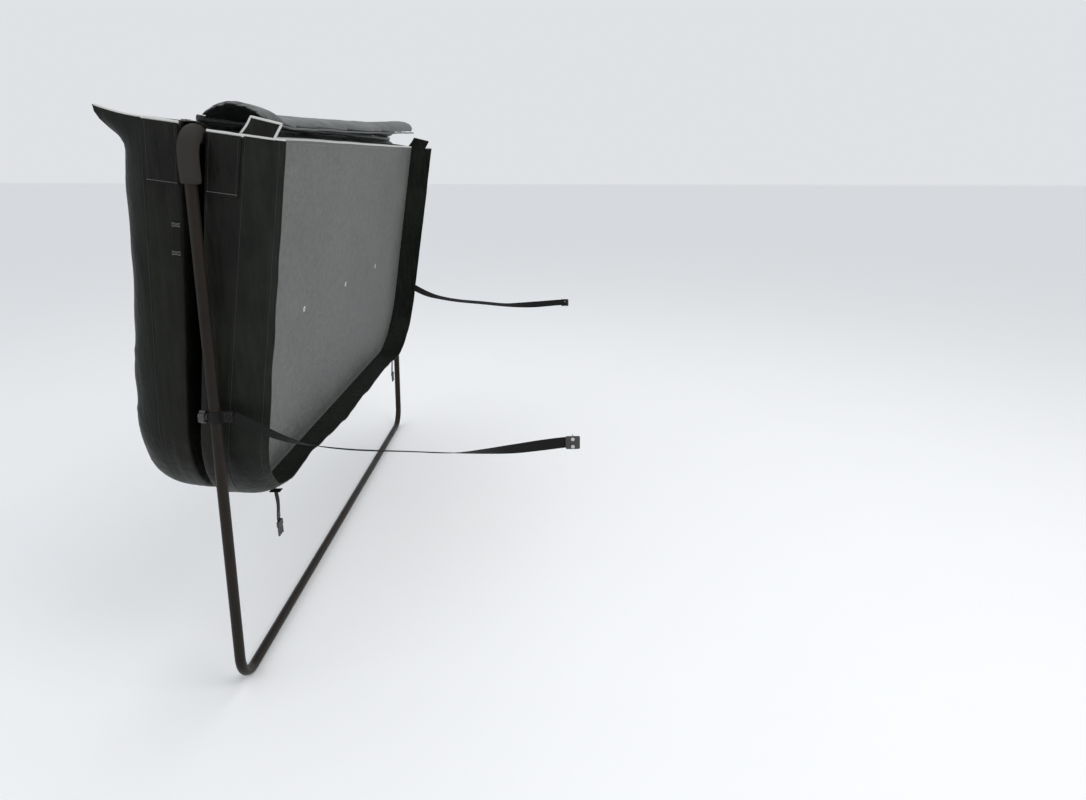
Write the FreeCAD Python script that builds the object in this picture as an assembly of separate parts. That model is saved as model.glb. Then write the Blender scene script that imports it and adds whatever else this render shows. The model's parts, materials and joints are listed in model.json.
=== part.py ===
"""Folding spa cover hung over its rocking tube lifter, in millimetres, +Z up.

The origin is on the ground under the middle of the lifter's ground bar. +X points from the lifter
towards the tub, +Y runs along the ground bar. The lifter leans a little towards the tub, and the
folded cover hangs over its top bar: the back half faces the tub, the front half faces away.
Each piece is a separate solid, or a group of like solids, in its own STEP file.
"""
import FreeCAD
import Part

import math
import os

Vector = FreeCAD.Vector

# ---- driving dimensions: lifter ----
TUBE_RADIUS = 14.0
TUBE_WALL = 1.6
FRAME_HEIGHT = 1522.0        # ground-bar axis to top-bar axis, along the posts
POST_OUT = 35.0              # post axis beyond the cover's end
FRAME_LEAN = 2.15            # degrees, top towards the tub
LOW_BEND_RADIUS = 85.0
TOP_BEND_RADIUS = 50.0
POST_JOINT_HEIGHT = 770.0    # where upper and lower tubes butt
KNOB_RISE = 46.0             # knob stud above that butt joint
COUPLER_LENGTH = 180.0
COUPLER_WALL = 1.6
COUPLER_CLEARANCE = 0.15
RIVET_RADIUS = 2.4
RIVET_CLEARANCE = 0.1
SLEEVE_RADIUS = 24.0         # foam sleeve, outside
SLEEVE_CLEARANCE = 0.2
SLEEVE_DROP = 118.0          # how far the sleeve comes down the post below the top-bar axis
SLEEVE_SPLIT_Y = 700.0       # where the near and far sleeves meet the middle one

# ---- driving dimensions: cover ----
HALF_LENGTH = 1050.0         # hinge edge to outer edge
COVER_WIDTH = 2130.0         # along the hinge
CORNER_RADIUS = 280.0
HINGE_THICKNESS = 89.0
OUTER_THICKNESS = 62.0
COVER_LEAN = 7.7             # degrees, outer edges away from the tub
SLEEVE_ROOM = 5.0            # foam sleeve to each half's top face, at the hinge
OUTER_GAP = 12.0             # top-bar axis to each half's top face, at the outer edge
FOLD_HEIGHT = 21.0           # fold axis above the top-bar axis
FLAT_GAP = 8.0               # between the hinge edges when the cover lies flat
FRONT_RISE = 1.0             # front half's hinge edge above the fold axis
VINYL = 1.2
FILM = 0.4
LAYER_GAP = 0.4              # between one layer and the next
SKIRT_DEPTH = 100.0
SKIRT_THICKNESS = 2.0
HEM_HEIGHT = 3.0
HEM_EXTRA = 0.6              # how far the binding stands out each side of the skirt
CHANNEL_WALL = 1.0
CHANNEL_FLANGE = 40.0
GROMMET_RADIUS = 9.0
GROMMET_HOLE = 4.0
GROMMET_RISE = 1.6
GROMMET_SPACING = 500.0
GROMMET_DROP = 20.0          # below the middle of the underside
PATCH_LENGTH = 150.0
PATCH_THICKNESS = 0.8
FLAP_HEIGHT = 45.0
FLAP_DEPTH = 80.0
FLAP_LAP = 12.0              # how far the flap starts inside the underside
FLAP_CLEAR = 4.0             # how far the flap stands clear of the other half's corner when shut
STRIP_LAP = 33.0             # how far the hinge strip is sewn onto each hinge edge
STRIP_THICKNESS = 1.6
SEAL_THICKNESS = 12.0
SEAL_RISE = 50.0             # the seal's arch is 0.84 of this high at the near end
SEAL_INSET = 15.0            # hinge strip's and seal's ends from the cover's ends
ZIP_TAPE_WIDTH = 20.0
ZIP_TAPE = 1.0
ZIP_COIL_WIDTH = 5.0
ZIP_COIL_HEIGHT = 2.0
ZIP_INSET = 115.0            # zip's end from the cover's end
BACK_ZIP_INSET = 20.0        # back zip's middle from the underside, across the hinge edge
FRONT_ZIP_ROOM = 4.0         # front zip's tape from the hinge strip's sewn edge
TAB_LENGTH = 84.0
TAB_DROP = 238.0

# ---- driving dimensions: straps ----
STRAP_WIDTH = 32.0
STRAP_THICKNESS = 2.0
LOOP_CLEARANCE = 0.3
LOOP_WALL = 2.2
LOOP_TAIL = 46.0
STUD_RADIUS = 4.0
STUD_CLEARANCE = 0.05
KNOB_RADIUS = 18.0
KNOB_THICKNESS = 15.0
KNOB_LOBES = 6
INSERT_RADIUS = 6.0
ANCHOR_X = 960.0
ANCHOR_DROP = 101.0          # anchor plate's middle below the knob's height
CABINET_INSET = 30.0         # tub cabinet's side walls, inside the cover's ends
ANCHOR_WIDTH = 40.0
ANCHOR_HEIGHT = 38.0
ANCHOR_THICKNESS = 3.0
ANCHOR_SCREW_SPACING = 22.0
SCREW_RADIUS = 2.4
SCREW_CLEARANCE = 1.3
FAR_ANCHOR_DROP = 2.0        # the far anchor is set this much lower than the near one
SCREW_DEPTH = 25.0           # how far a screw goes into the cabinet
TIE_WIDTH = 25.0
TIE_THICKNESS = 1.6
TIE_LENGTH = 92.0
TIE_INSET = 240.0            # tie strap from the cover's end
TIE_OUT = 58.0               # tie strap from the cover's underside
CLIP_LENGTH = 46.0

PARTS = "parts"
HALF_WIDTH = COVER_WIDTH / 2
POST_Y = HALF_WIDTH + POST_OUT
CABINET_Y = HALF_WIDTH - CABINET_INSET
ZIP_END = HALF_WIDTH - ZIP_INSET
TIE_Y = HALF_WIDTH - TIE_INSET
KNOB_HEIGHT = POST_JOINT_HEIGHT + KNOB_RISE
ANCHOR_Z = KNOB_HEIGHT - ANCHOR_DROP
BAR_GAP = SLEEVE_RADIUS + SLEEVE_ROOM
FRONT_EDGE = FOLD_HEIGHT + FRONT_RISE
BACK_EDGE = FOLD_HEIGHT - FRONT_RISE - FLAT_GAP
TOP_FACE = (BAR_GAP, OUTER_GAP)
UNDERSIDE = (BAR_GAP + HINGE_THICKNESS, OUTER_GAP + OUTER_THICKNESS)
UNDERSIDE_SLOPE = math.degrees(math.atan((UNDERSIDE[0] - UNDERSIDE[1]) / HALF_LENGTH))


# ---- helpers ----
def block(x0, x1, y0, y1, z0, z1):
    return Part.makeBox(x1 - x0, y1 - y0, z1 - z0, Vector(x0, y0, z0))


def rod(radius, start, end):
    along = end - start
    return Part.makeCylinder(radius, along.Length, start, along)


def extruded(points, direction):
    return Part.Face(Part.makePolygon(points + [points[0]])).extrude(direction)


def mirrored_y(shape):
    return shape.mirror(Vector(0, 0, 0), Vector(0, 1, 0))


def both_ends(shape):
    return Part.makeCompound([shape, mirrored_y(shape)])


def far_anchored(shape):
    """The far end's copy of an anchor piece."""
    copy = mirrored_y(shape)
    copy.translate(Vector(0, 0, -FAR_ANCHOR_DROP))
    return copy


def turned(shape, degrees, centre=Vector(0, 0, 0)):
    """A copy turned about +Y, which carries +Z towards +X."""
    copy = shape.copy()
    copy.rotate(centre, Vector(0, 1, 0), degrees)
    return copy


def skin(rings):
    """A closed solid through rings of corner points, with flat triangles for its sides."""
    faces = []

    def add(points):
        faces.append(Part.Face(Part.makePolygon(points + [points[0]])))

    for first, second in zip(rings, rings[1:]):
        for i in range(len(first)):
            j = (i + 1) % len(first)
            add([first[i], first[j], second[j]])
            add([first[i], second[j], second[i]])
    for ring in (rings[0], rings[-1]):
        for i in range(1, len(ring) - 1):
            add([ring[0], ring[i], ring[i + 1]])
    solid = Part.Solid(Part.Shell(faces))
    if solid.Volume < 0:
        solid.reverse()
    return solid


def on_frame(shape):
    """From the upright frame's own axes, with its origin on the ground bar, to the row."""
    leaned = turned(shape, FRAME_LEAN)
    leaned.translate(Vector(0, 0, TUBE_RADIUS))
    return leaned


def frame_point(x, y, z):
    lean = math.radians(FRAME_LEAN)
    across = x * math.cos(lean) + z * math.sin(lean)
    up = z * math.cos(lean) - x * math.sin(lean)
    return Vector(across, y, up + TUBE_RADIUS)


BAR = frame_point(0, 0, FRAME_HEIGHT)


def on_cover(shape):
    """From the folded cover's own axes, with its origin on the top bar, to the row."""
    hung = turned(shape, COVER_LEAN)
    hung.translate(BAR)
    return hung


def on_front(shape):
    """The front half is built like the back one and mirrored across the top bar."""
    return on_cover(shape.mirror(Vector(0, 0, 0), Vector(1, 0, 0)))


def save(name, shape):
    os.makedirs(PARTS, exist_ok=True)
    solids = shape.Solids
    result = solids[0] if len(solids) == 1 else Part.makeCompound(solids)
    if not result.isValid() or min(s.Volume for s in solids) <= 0:
        raise ValueError(name + " is not a valid solid")
    result.exportStep(os.path.join(PARTS, name + ".step"))


# ---- lifter ----
def bent_path(y_end, z_end, bend_y, bend_z, radius):
    """A bar along Y from y_end, an arc at the corner (bend_y, bend_z), and a post to z_end."""
    side = 1 if bend_y > y_end else -1
    up = 1 if z_end > bend_z else -1
    start = Vector(0, y_end, bend_z)
    leave = Vector(0, bend_y - side * radius, bend_z)
    arrive = Vector(0, bend_y, bend_z + up * radius)
    centre = Vector(0, leave.y, arrive.z)
    reach = radius / math.sqrt(2)
    middle = centre + Vector(0, side * reach, -up * reach)
    edges = [
        Part.LineSegment(start, leave).toShape(),
        Part.Arc(leave, middle, arrive).toShape(),
        Part.LineSegment(arrive, Vector(0, bend_y, z_end)).toShape(),
    ]
    return Part.Wire(edges)


def swept(path, radius):
    start = path.Vertexes[0].Point
    ring = Part.Wire(Part.makeCircle(radius, start, Vector(0, 1, 0)))
    return path.makePipeShell([ring], True, False)


def pipe(path, outer, inner):
    return swept(path, outer).cut(swept(path, inner))


def straight_pipe(start, end, outer, inner):
    return rod(outer, start, end).cut(rod(inner, start, end))


COUPLER_OUTER = TUBE_RADIUS - TUBE_WALL - COUPLER_CLEARANCE
COUPLER_INNER = COUPLER_OUTER - COUPLER_WALL
BUTT_GAP = 0.2


def rivet_spots():
    """(start, end) of each rivet's bore on the near side, from inside the coupler outwards."""
    inside, outside = COUPLER_INNER - 1.0, TUBE_RADIUS - 0.2
    below = POST_JOINT_HEIGHT - COUPLER_LENGTH / 3
    along = -COUPLER_LENGTH / 3
    return [
        (Vector(0, along, inside), Vector(0, along, outside)),
        (Vector(0, along, FRAME_HEIGHT - inside), Vector(0, along, FRAME_HEIGHT - outside)),
        (Vector(inside, -POST_Y, below), Vector(outside, -POST_Y, below)),
    ]


def rivet_bores():
    bores = []
    for start, end in rivet_spots():
        reach = (end - start) * 1.5
        bores.append(rod(RIVET_RADIUS + RIVET_CLEARANCE, start - reach * 0.2, start + reach))
    return bores


def knob_bore(radius, inner, outer):
    """A hole along the knob's stud, between two distances from the post's axis."""
    start = Vector(-inner, -POST_Y, KNOB_HEIGHT)
    return rod(radius, start, Vector(-outer, -POST_Y, KNOB_HEIGHT))


def near_lower_tube():
    path = bent_path(-BUTT_GAP / 2, POST_JOINT_HEIGHT, -POST_Y, 0, LOW_BEND_RADIUS)
    tube = pipe(path, TUBE_RADIUS, TUBE_RADIUS - TUBE_WALL)
    return tube.cut(Part.makeCompound(rivet_bores()))


def near_upper_tube():
    low = POST_JOINT_HEIGHT + BUTT_GAP
    path = bent_path(-BUTT_GAP / 2, low, -POST_Y, FRAME_HEIGHT, TOP_BEND_RADIUS)
    tube = pipe(path, TUBE_RADIUS, TUBE_RADIUS - TUBE_WALL)
    stud_hole = knob_bore(STUD_RADIUS + STUD_CLEARANCE * 6, 0, TUBE_RADIUS * 2)
    return tube.cut(Part.makeCompound(rivet_bores() + [stud_hole]))


def bar_coupler(height):
    reach = Vector(0, COUPLER_LENGTH / 2, 0)
    middle = Vector(0, 0, height)
    sleeve = straight_pipe(middle - reach, middle + reach, COUPLER_OUTER, COUPLER_INNER)
    bores = rivet_bores()
    return sleeve.cut(Part.makeCompound(bores + [mirrored_y(b) for b in bores]))


def near_post_coupler():
    reach = Vector(0, 0, COUPLER_LENGTH / 2)
    middle = Vector(0, -POST_Y, POST_JOINT_HEIGHT)
    sleeve = straight_pipe(middle - reach, middle + reach, COUPLER_OUTER, COUPLER_INNER)
    insert_hole = knob_bore(INSERT_RADIUS + STUD_CLEARANCE, 0, TUBE_RADIUS * 2)
    return sleeve.cut(Part.makeCompound(rivet_bores() + [insert_hole]))


def near_thread_insert():
    inner_corner = math.sqrt(COUPLER_OUTER**2 - INSERT_RADIUS**2)
    body = knob_bore(INSERT_RADIUS, COUPLER_INNER - 7.0, inner_corner)
    return body.cut(knob_bore(STUD_RADIUS + STUD_CLEARANCE, 0, TUBE_RADIUS * 2))


def coupler_rivets():
    rivets = [rod(RIVET_RADIUS, start, end) for start, end in rivet_spots()]
    return both_ends(Part.makeCompound(rivets))


def near_foam_sleeve():
    path = bent_path(
        -SLEEVE_SPLIT_Y, FRAME_HEIGHT - SLEEVE_DROP, -POST_Y, FRAME_HEIGHT, TOP_BEND_RADIUS
    )
    return pipe(path, SLEEVE_RADIUS, TUBE_RADIUS + SLEEVE_CLEARANCE)


def mid_foam_sleeve():
    end = Vector(0, SLEEVE_SPLIT_Y - 0.5, FRAME_HEIGHT)
    start = Vector(0, -end.y, FRAME_HEIGHT)
    return straight_pipe(start, end, SLEEVE_RADIUS, TUBE_RADIUS + SLEEVE_CLEARANCE)


LOOP_OUTER = TUBE_RADIUS + LOOP_CLEARANCE + LOOP_WALL


def near_strap_loop():
    """Webbing wrapped round the post, sewn together into a tail that points at the tub."""
    half = STRAP_WIDTH / 2
    low = Vector(0, -POST_Y, KNOB_HEIGHT - half)
    high = Vector(0, -POST_Y, KNOB_HEIGHT + half)
    tail = block(
        TUBE_RADIUS, LOOP_TAIL, -POST_Y - LOOP_WALL, -POST_Y + LOOP_WALL, low.z, high.z
    )
    ring = rod(LOOP_OUTER, low, high).fuse(tail)
    ring = ring.cut(rod(TUBE_RADIUS + LOOP_CLEARANCE, low, high))
    return ring.cut(knob_bore(STUD_RADIUS + 0.4, 0, TUBE_RADIUS * 2))


def near_knob():
    """A lobed hand knob, its hub against the strap loop, with a stud into the thread insert."""
    face = LOOP_OUTER + 0.3
    hub_end = face + 5.0
    grip_end = hub_end + KNOB_THICKNESS
    knob = knob_bore(KNOB_RADIUS * 0.5, face, hub_end + 1.0)
    grip = knob_bore(KNOB_RADIUS, hub_end, grip_end)
    grip = grip.makeFillet(2.0, [e for e in grip.Edges if e.Closed and len(e.Vertexes) == 1])
    for i in range(KNOB_LOBES):
        angle = 2 * math.pi * i / KNOB_LOBES
        centre = Vector(
            -hub_end + 1.0,
            -POST_Y + 1.22 * KNOB_RADIUS * math.cos(angle),
            KNOB_HEIGHT + 1.22 * KNOB_RADIUS * math.sin(angle),
        )
        grip = grip.cut(rod(KNOB_RADIUS * 0.42, centre, centre - Vector(30, 0, 0)))
    stud = knob_bore(STUD_RADIUS, COUPLER_INNER - 6.0, face + 1.0)
    return knob.fuse([grip, stud]).removeSplitter()


# ---- cover halves, in the back half's own axes: +X outwards from the top bar, -Z down ----
def along_face(line, u):
    """How far a face lies from the bar axis, u below the hinge edge."""
    return line[0] + (line[1] - line[0]) * u / HALF_LENGTH


def shifted(line, by):
    return (line[0] + by, line[1] + by)


def plan_outline(inset, hinge_u):
    """The half's outline in the Y-Z plane, round at its two outer corners."""
    side = HALF_WIDTH - inset
    radius = CORNER_RADIUS - inset
    top, low = -hinge_u, -(HALF_LENGTH - inset)
    turn = radius / math.sqrt(2)
    edges = []
    corners = {}
    for sign in (-1, 1):
        centre = Vector(-20, sign * (side - radius), low + radius)
        corners[sign] = (
            Vector(-20, sign * side, centre.z),
            centre + Vector(0, sign * turn, -turn),
            Vector(-20, centre.y, low),
        )
        edges.append(Part.Arc(*corners[sign]).toShape())
        edges.append(
            Part.LineSegment(Vector(-20, sign * side, top), corners[sign][0]).toShape()
        )
    left, right = Vector(-20, -side, top), Vector(-20, side, top)
    edges.append(Part.LineSegment(left, right).toShape())
    edges.append(Part.LineSegment(corners[-1][2], corners[1][2]).toShape())
    return Part.Wire(Part.__sortEdges__(edges))


def slab(inset, inner, outer, hinge_u=None):
    """The space between two of the half's faces, inset from its outline."""
    start = inset if hinge_u is None else hinge_u
    end = HALF_LENGTH
    y = -HALF_WIDTH - 10
    corners = [
        Vector(along_face(inner, start), y, -start),
        Vector(along_face(outer, start), y, -start),
        Vector(along_face(outer, end), y, -end),
        Vector(along_face(inner, end), y, -end),
    ]
    wedge = extruded(corners, Vector(0, -2 * y, 0))
    plan = Part.Face(plan_outline(inset, start)).extrude(Vector(400, 0, 0))
    return wedge.common(plan)


def lowered(shape, edge):
    """From a half whose hinge edge is at zero to its height beside the bar."""
    moved = shape.copy()
    moved.translate(Vector(0, 0, edge))
    return moved


FILM_INSET = VINYL + LAYER_GAP
FOAM_INSET = FILM_INSET + FILM + LAYER_GAP


def jacket():
    """Vinyl over the top face and all four sides, open at the underside."""
    inside = slab(VINYL, shifted(TOP_FACE, VINYL), shifted(UNDERSIDE, 5.0))
    return slab(0, TOP_FACE, UNDERSIDE).cut(inside)


def underside_panel():
    return slab(VINYL + 0.3, shifted(UNDERSIDE, -VINYL), UNDERSIDE)


def vapour_film():
    """Two film trays, heat-sealed round the middle of the core."""
    outer = slab(FILM_INSET, shifted(TOP_FACE, FILM_INSET), shifted(UNDERSIDE, -FILM_INSET))
    room = FILM_INSET + FILM
    inner = slab(room, shifted(TOP_FACE, room), shifted(UNDERSIDE, -room))
    middle = tuple((a + b) / 2 for a, b in zip(TOP_FACE, UNDERSIDE))
    seam = slab(0, shifted(middle, -0.3), shifted(middle, 0.3))
    return outer.cut(inner).cut(seam)


def channel_space(grow):
    """The channel's outside, grown on every side, from the core's hinge edge inwards."""
    inset = FOAM_INSET - grow
    full = slab(inset, shifted(TOP_FACE, inset), shifted(UNDERSIDE, -inset))
    end = FOAM_INSET + CHANNEL_FLANGE + grow
    return full.common(block(0, 400, -HALF_WIDTH + 40, HALF_WIDTH - 40, -end, 0))


def channel_core(grow):
    inset = FOAM_INSET + CHANNEL_WALL + grow
    return slab(inset, shifted(TOP_FACE, inset), shifted(UNDERSIDE, -inset))


def hinge_channel():
    """Folded steel channel that stiffens the core's hinge edge."""
    return channel_space(0).cut(channel_core(0))


def foam_core():
    core = slab(FOAM_INSET, shifted(TOP_FACE, FOAM_INSET), shifted(UNDERSIDE, -FOAM_INSET))
    return core.cut(channel_space(0.2).cut(channel_core(0.2)))


def skirt_band(outset, inset, start, depth):
    """A band round three sides that stands out from the underside."""
    outside = slab(-outset, shifted(UNDERSIDE, start), shifted(UNDERSIDE, start + depth), 0)
    inside = slab(inset, shifted(UNDERSIDE, -5), shifted(UNDERSIDE, start + depth + 5), -50)
    return outside.cut(inside)


def skirt():
    return skirt_band(0, SKIRT_THICKNESS, LAYER_GAP, SKIRT_DEPTH - LAYER_GAP)


def skirt_hem():
    return skirt_band(0, SKIRT_THICKNESS + HEM_EXTRA, SKIRT_DEPTH + 0.2, HEM_HEIGHT)


def end_patch():
    """Doubled vinyl over the near end, beside the hinge, which takes the wear."""
    y = -HALF_WIDTH - 0.3
    low, high = -PATCH_LENGTH, -2.0
    corners = [
        Vector(along_face(TOP_FACE, -high) + 1.5, y, high),
        Vector(along_face(UNDERSIDE, -high) - 1.5, y, high),
        Vector(along_face(UNDERSIDE, -low) - 1.5, y, low),
        Vector(along_face(TOP_FACE, -low) + 1.5, y, low),
    ]
    return extruded(corners, Vector(0, -PATCH_THICKNESS, 0))


def gap_flap():
    """The tab past the hinge edge that covers the gap between the two skirts when shut."""
    start = UNDERSIDE[0] - FLAP_LAP
    y = -HALF_WIDTH + SKIRT_THICKNESS + 3.0
    corners = [
        Vector(start, y, LAYER_GAP),
        Vector(start + FLAP_DEPTH, y, LAYER_GAP),
        Vector(start + FLAP_DEPTH + 17.0, y, FLAP_HEIGHT - 7.0),
        Vector(start + 25.0, y, FLAP_HEIGHT),
        Vector(UNDERSIDE[0] + FLAP_CLEAR, y, FLAP_CLEAR * 3),
    ]
    return extruded(corners, Vector(0, SKIRT_THICKNESS, 0))


def grommets():
    """Vent grommets on the underside, half-way down."""
    u = HALF_LENGTH / 2 + GROMMET_DROP
    slope = math.radians(UNDERSIDE_SLOPE)
    outward = Vector(math.cos(slope), 0, -math.sin(slope))
    rings = []
    for i in (-1, 0, 1):
        centre = Vector(along_face(UNDERSIDE, u), i * GROMMET_SPACING, -u)
        start = centre + outward * 0.2
        ring = rod(GROMMET_RADIUS, start, start + outward * GROMMET_RISE)
        rings.append(ring.cut(rod(GROMMET_HOLE, centre, start + outward * 5)))
    return Part.makeCompound(rings)


def zip_tape(middle):
    """Zip along the hinge edge: the tape, with the closed coil standing on it."""
    half = ZIP_TAPE_WIDTH / 2
    tape = block(middle - half, middle + half, -ZIP_END - 12, ZIP_END + 12, 0.3, 0.3 + ZIP_TAPE)
    low = 0.3 + ZIP_TAPE
    wide = ZIP_COIL_WIDTH / 2
    coil = block(middle - wide, middle + wide, -ZIP_END - 8, ZIP_END + 8, low, low + ZIP_COIL_HEIGHT)
    return tape.fuse(coil).removeSplitter()


def zip_slider(middle):
    """The slider straddles the coil, and its pull lies flat behind it."""
    low = 0.3 + ZIP_TAPE + 0.1
    top = low + ZIP_COIL_HEIGHT + 1.5
    body = block(middle - 5, middle + 5, -ZIP_END, -ZIP_END + 13, low, top)
    wide = ZIP_COIL_WIDTH / 2 + 0.2
    slot = block(
        middle - wide, middle + wide, -ZIP_END - 1, -ZIP_END + 14, low - 1, low + ZIP_COIL_HEIGHT + 0.1
    )
    pull = block(middle - 3, middle + 3, -ZIP_END + 4, -ZIP_END + 38, top - 0.4, top + 0.8)
    return body.cut(slot).fuse(pull).removeSplitter()


def pull_tab():
    """A folded webbing tab on the near end face, next to the fold."""
    start = along_face(TOP_FACE, TAB_DROP) + 1.0
    y = -HALF_WIDTH - 0.3
    return block(start, start + 24.0, y - 3.2, y, -TAB_DROP - TAB_LENGTH, -TAB_DROP)


def tie_point():
    """Where the near tie strap leaves the back half's lower skirt, in the row."""
    line = shifted(UNDERSIDE, TIE_OUT)
    local = Vector(along_face(line, HALF_LENGTH), -TIE_Y, BACK_EDGE - HALF_LENGTH)
    lean = math.radians(COVER_LEAN)
    across = local.x * math.cos(lean) + local.z * math.sin(lean)
    up = local.z * math.cos(lean) - local.x * math.sin(lean)
    return BAR + Vector(across, local.y, up)


def tie_tab():
    """The webbing patch that holds a tie strap on the skirt's outside."""
    line = shifted(UNDERSIDE, TIE_OUT)
    middle = along_face(line, HALF_LENGTH)
    low = -HALF_LENGTH - 0.3
    half = TIE_WIDTH / 2
    return block(middle - 16, middle + 16, -TIE_Y - half, -TIE_Y + half, low - 2.0, low)


def tie_strap():
    """A tie strap, hanging straight down."""
    root = tie_point() + Vector(0, 0, -8.0)
    half = TIE_WIDTH / 2
    return block(
        root.x - TIE_THICKNESS / 2,
        root.x + TIE_THICKNESS / 2,
        root.y - half,
        root.y + half,
        root.z - TIE_LENGTH,
        root.z,
    )


def tie_clip():
    """The clip's male half, with two side prongs and a tongue between them."""
    root = tie_point() + Vector(0, 0, -8.0 - TIE_LENGTH - 0.3)
    half_wide = TIE_WIDTH / 2 + 4.0
    bar_end = root.z - 16.0
    low = bar_end - (CLIP_LENGTH - 16.0)
    thick = 4.0
    clip = block(root.x - thick, root.x + thick, root.y - half_wide, root.y + half_wide, bar_end, root.z)
    half = TIE_WIDTH / 2
    slot = block(root.x - 9, root.x + 9, root.y - half, root.y + half, bar_end + 6, bar_end + 9)
    clip = clip.cut(slot)
    for side in (-1, 0, 1):
        middle = root.y + side * (half_wide - 3.5)
        clip = clip.fuse(block(root.x - 2.5, root.x + 2.5, middle - 3, middle + 3, low, bar_end))
    return clip.removeSplitter()


# ---- pieces over the fold, in the folded cover's axes ----
def ribbon_corners(points, thickness, y):
    """The outline, at one y, of a strip whose section follows a line of (x, z) points."""
    upper, lower = [], []
    for i, (x, z) in enumerate(points):
        before = points[max(i - 1, 0)]
        after = points[min(i + 1, len(points) - 1)]
        run, rise = after[0] - before[0], after[1] - before[1]
        length = math.hypot(run, rise)
        across, up = -rise / length * thickness / 2, run / length * thickness / 2
        upper.append(Vector(x + across, y, z + up))
        lower.append(Vector(x - across, y, z - up))
    return upper + lower[::-1]


def ribbon(points, thickness, half_length):
    corners = ribbon_corners(points, thickness, -half_length)
    return extruded(corners, Vector(0, 2 * half_length, 0))


def hinge_strip():
    """The vinyl hinge: sewn along both hinge edges, with a saddle over the foam sleeve."""
    saddle = SLEEVE_RADIUS + 2.6
    back = BACK_EDGE + 1.6
    front = FRONT_EDGE + 1.6
    radius = SLEEVE_RADIUS
    line = [
        (-BAR_GAP - STRIP_LAP, front),
        (-BAR_GAP - 1.0, front),
        (-radius * 0.83, front + 1.2),
        (-radius * 0.38, saddle - 0.2),
        (0.0, saddle),
        (radius * 0.38, saddle - radius * 0.067),
        (radius * 0.75, saddle - radius * 0.254),
        (radius * 1.06, back + 1.9),
        (BAR_GAP + 1.0, back),
        (BAR_GAP + STRIP_LAP, back),
    ]
    return ribbon(line, STRIP_THICKNESS, HALF_WIDTH - SEAL_INSET)


def hinge_seal():
    """The soft seal flap that arches over the back half's hinge edge and shuts the gap."""
    foot = SLEEVE_RADIUS + STRIP_THICKNESS + SEAL_THICKNESS
    reach = HALF_WIDTH - SEAL_INSET
    across = (-0.30, -0.08, 0.21, 0.53, 0.89, 1.25, 1.47)
    up = (0.0, 0.37, 0.72, 0.84, 0.78, 0.53, 0.12)
    far_across = (-0.24, -0.03, 0.24, 0.55, 0.80, 1.04, 1.09)
    far_up = (0.0, 0.65, 1.43, 1.92, 1.88, 1.47, 0.98)
    wires = []
    for arch, y in ((zip(across, up), -reach), (zip(far_across, far_up), reach)):
        line = [(BAR_GAP + a * HINGE_THICKNESS, foot + b * SEAL_RISE) for a, b in arch]
        corners = ribbon_corners(line, SEAL_THICKNESS, y)
        wires.append(Part.makePolygon(corners + [corners[0]]))
    return Part.makeLoft(wires, True, True)


# ---- stop straps and their anchors ----
def near_stop_strap():
    """Webbing from the post's strap loop to the cabinet: it sags, and twists flat half-way."""
    start = frame_point(LOOP_TAIL + 0.6, -POST_Y, KNOB_HEIGHT)
    end_x = ANCHOR_X - ANCHOR_WIDTH / 2 - 2.0
    wall_y = -CABINET_Y - 0.3 - STRAP_THICKNESS
    stations = [
        (start.x, start.z, 0.0),
        (start.x + 0.06 * (end_x - start.x), start.z - 30.0, 15.0),
        (start.x + 0.14 * (end_x - start.x), start.z - 66.0, 40.0),
        (start.x + 0.22 * (end_x - start.x), start.z - 88.0, 65.0),
        (start.x + 0.34 * (end_x - start.x), start.z - 106.0, 90.0),
        (start.x + 0.50 * (end_x - start.x), start.z - 118.0, 90.0),
        (start.x + 0.64 * (end_x - start.x), ANCHOR_Z - 16.0, 75.0),
        (start.x + 0.74 * (end_x - start.x), ANCHOR_Z - 16.0, 45.0),
        (start.x + 0.84 * (end_x - start.x), ANCHOR_Z - 12.0, 15.0),
        (start.x + 0.93 * (end_x - start.x), ANCHOR_Z - 5.0, 0.0),
        (end_x, ANCHOR_Z, 0.0),
        (ANCHOR_X - ANCHOR_WIDTH / 2 + 0.5, ANCHOR_Z, 0.0),
    ]
    wide, thick = STRAP_WIDTH / 2, STRAP_THICKNESS / 2
    rings = []
    for x, z, twist in stations:
        share = min(1.0, (x - start.x) / (end_x - start.x))
        y = -POST_Y + (wall_y + POST_Y) * share
        turn = math.radians(twist)
        up = Vector(0, -math.sin(turn), math.cos(turn))
        out = Vector(0, math.cos(turn), math.sin(turn))
        middle = Vector(x, y, z)
        rings.append(
            [
                middle + up * wide + out * thick,
                middle - up * wide + out * thick,
                middle - up * wide - out * thick,
                middle + up * wide - out * thick,
            ]
        )
    low, high = ANCHOR_Z - wide, ANCHOR_Z + wide
    face = wall_y - thick
    end = block(
        ANCHOR_X - ANCHOR_WIDTH / 2 + 0.5,
        ANCHOR_X + ANCHOR_WIDTH / 2 - 2.0,
        face,
        face + STRAP_THICKNESS + 1.0,
        low,
        high,
    )
    strap = skin(rings).fuse(end)
    return strap.cut(anchor_bores(SCREW_RADIUS + SCREW_CLEARANCE))


def anchor_spots():
    half = ANCHOR_SCREW_SPACING / 2
    return [Vector(ANCHOR_X, -CABINET_Y, ANCHOR_Z + side * half) for side in (-1, 1)]


def anchor_bores(radius):
    reach = Vector(0, 20, 0)
    return Part.makeCompound([rod(radius, spot - reach, spot + reach) for spot in anchor_spots()])


ANCHOR_BACK = -CABINET_Y - 0.3 - STRAP_THICKNESS * 1.5 - 0.4


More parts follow.
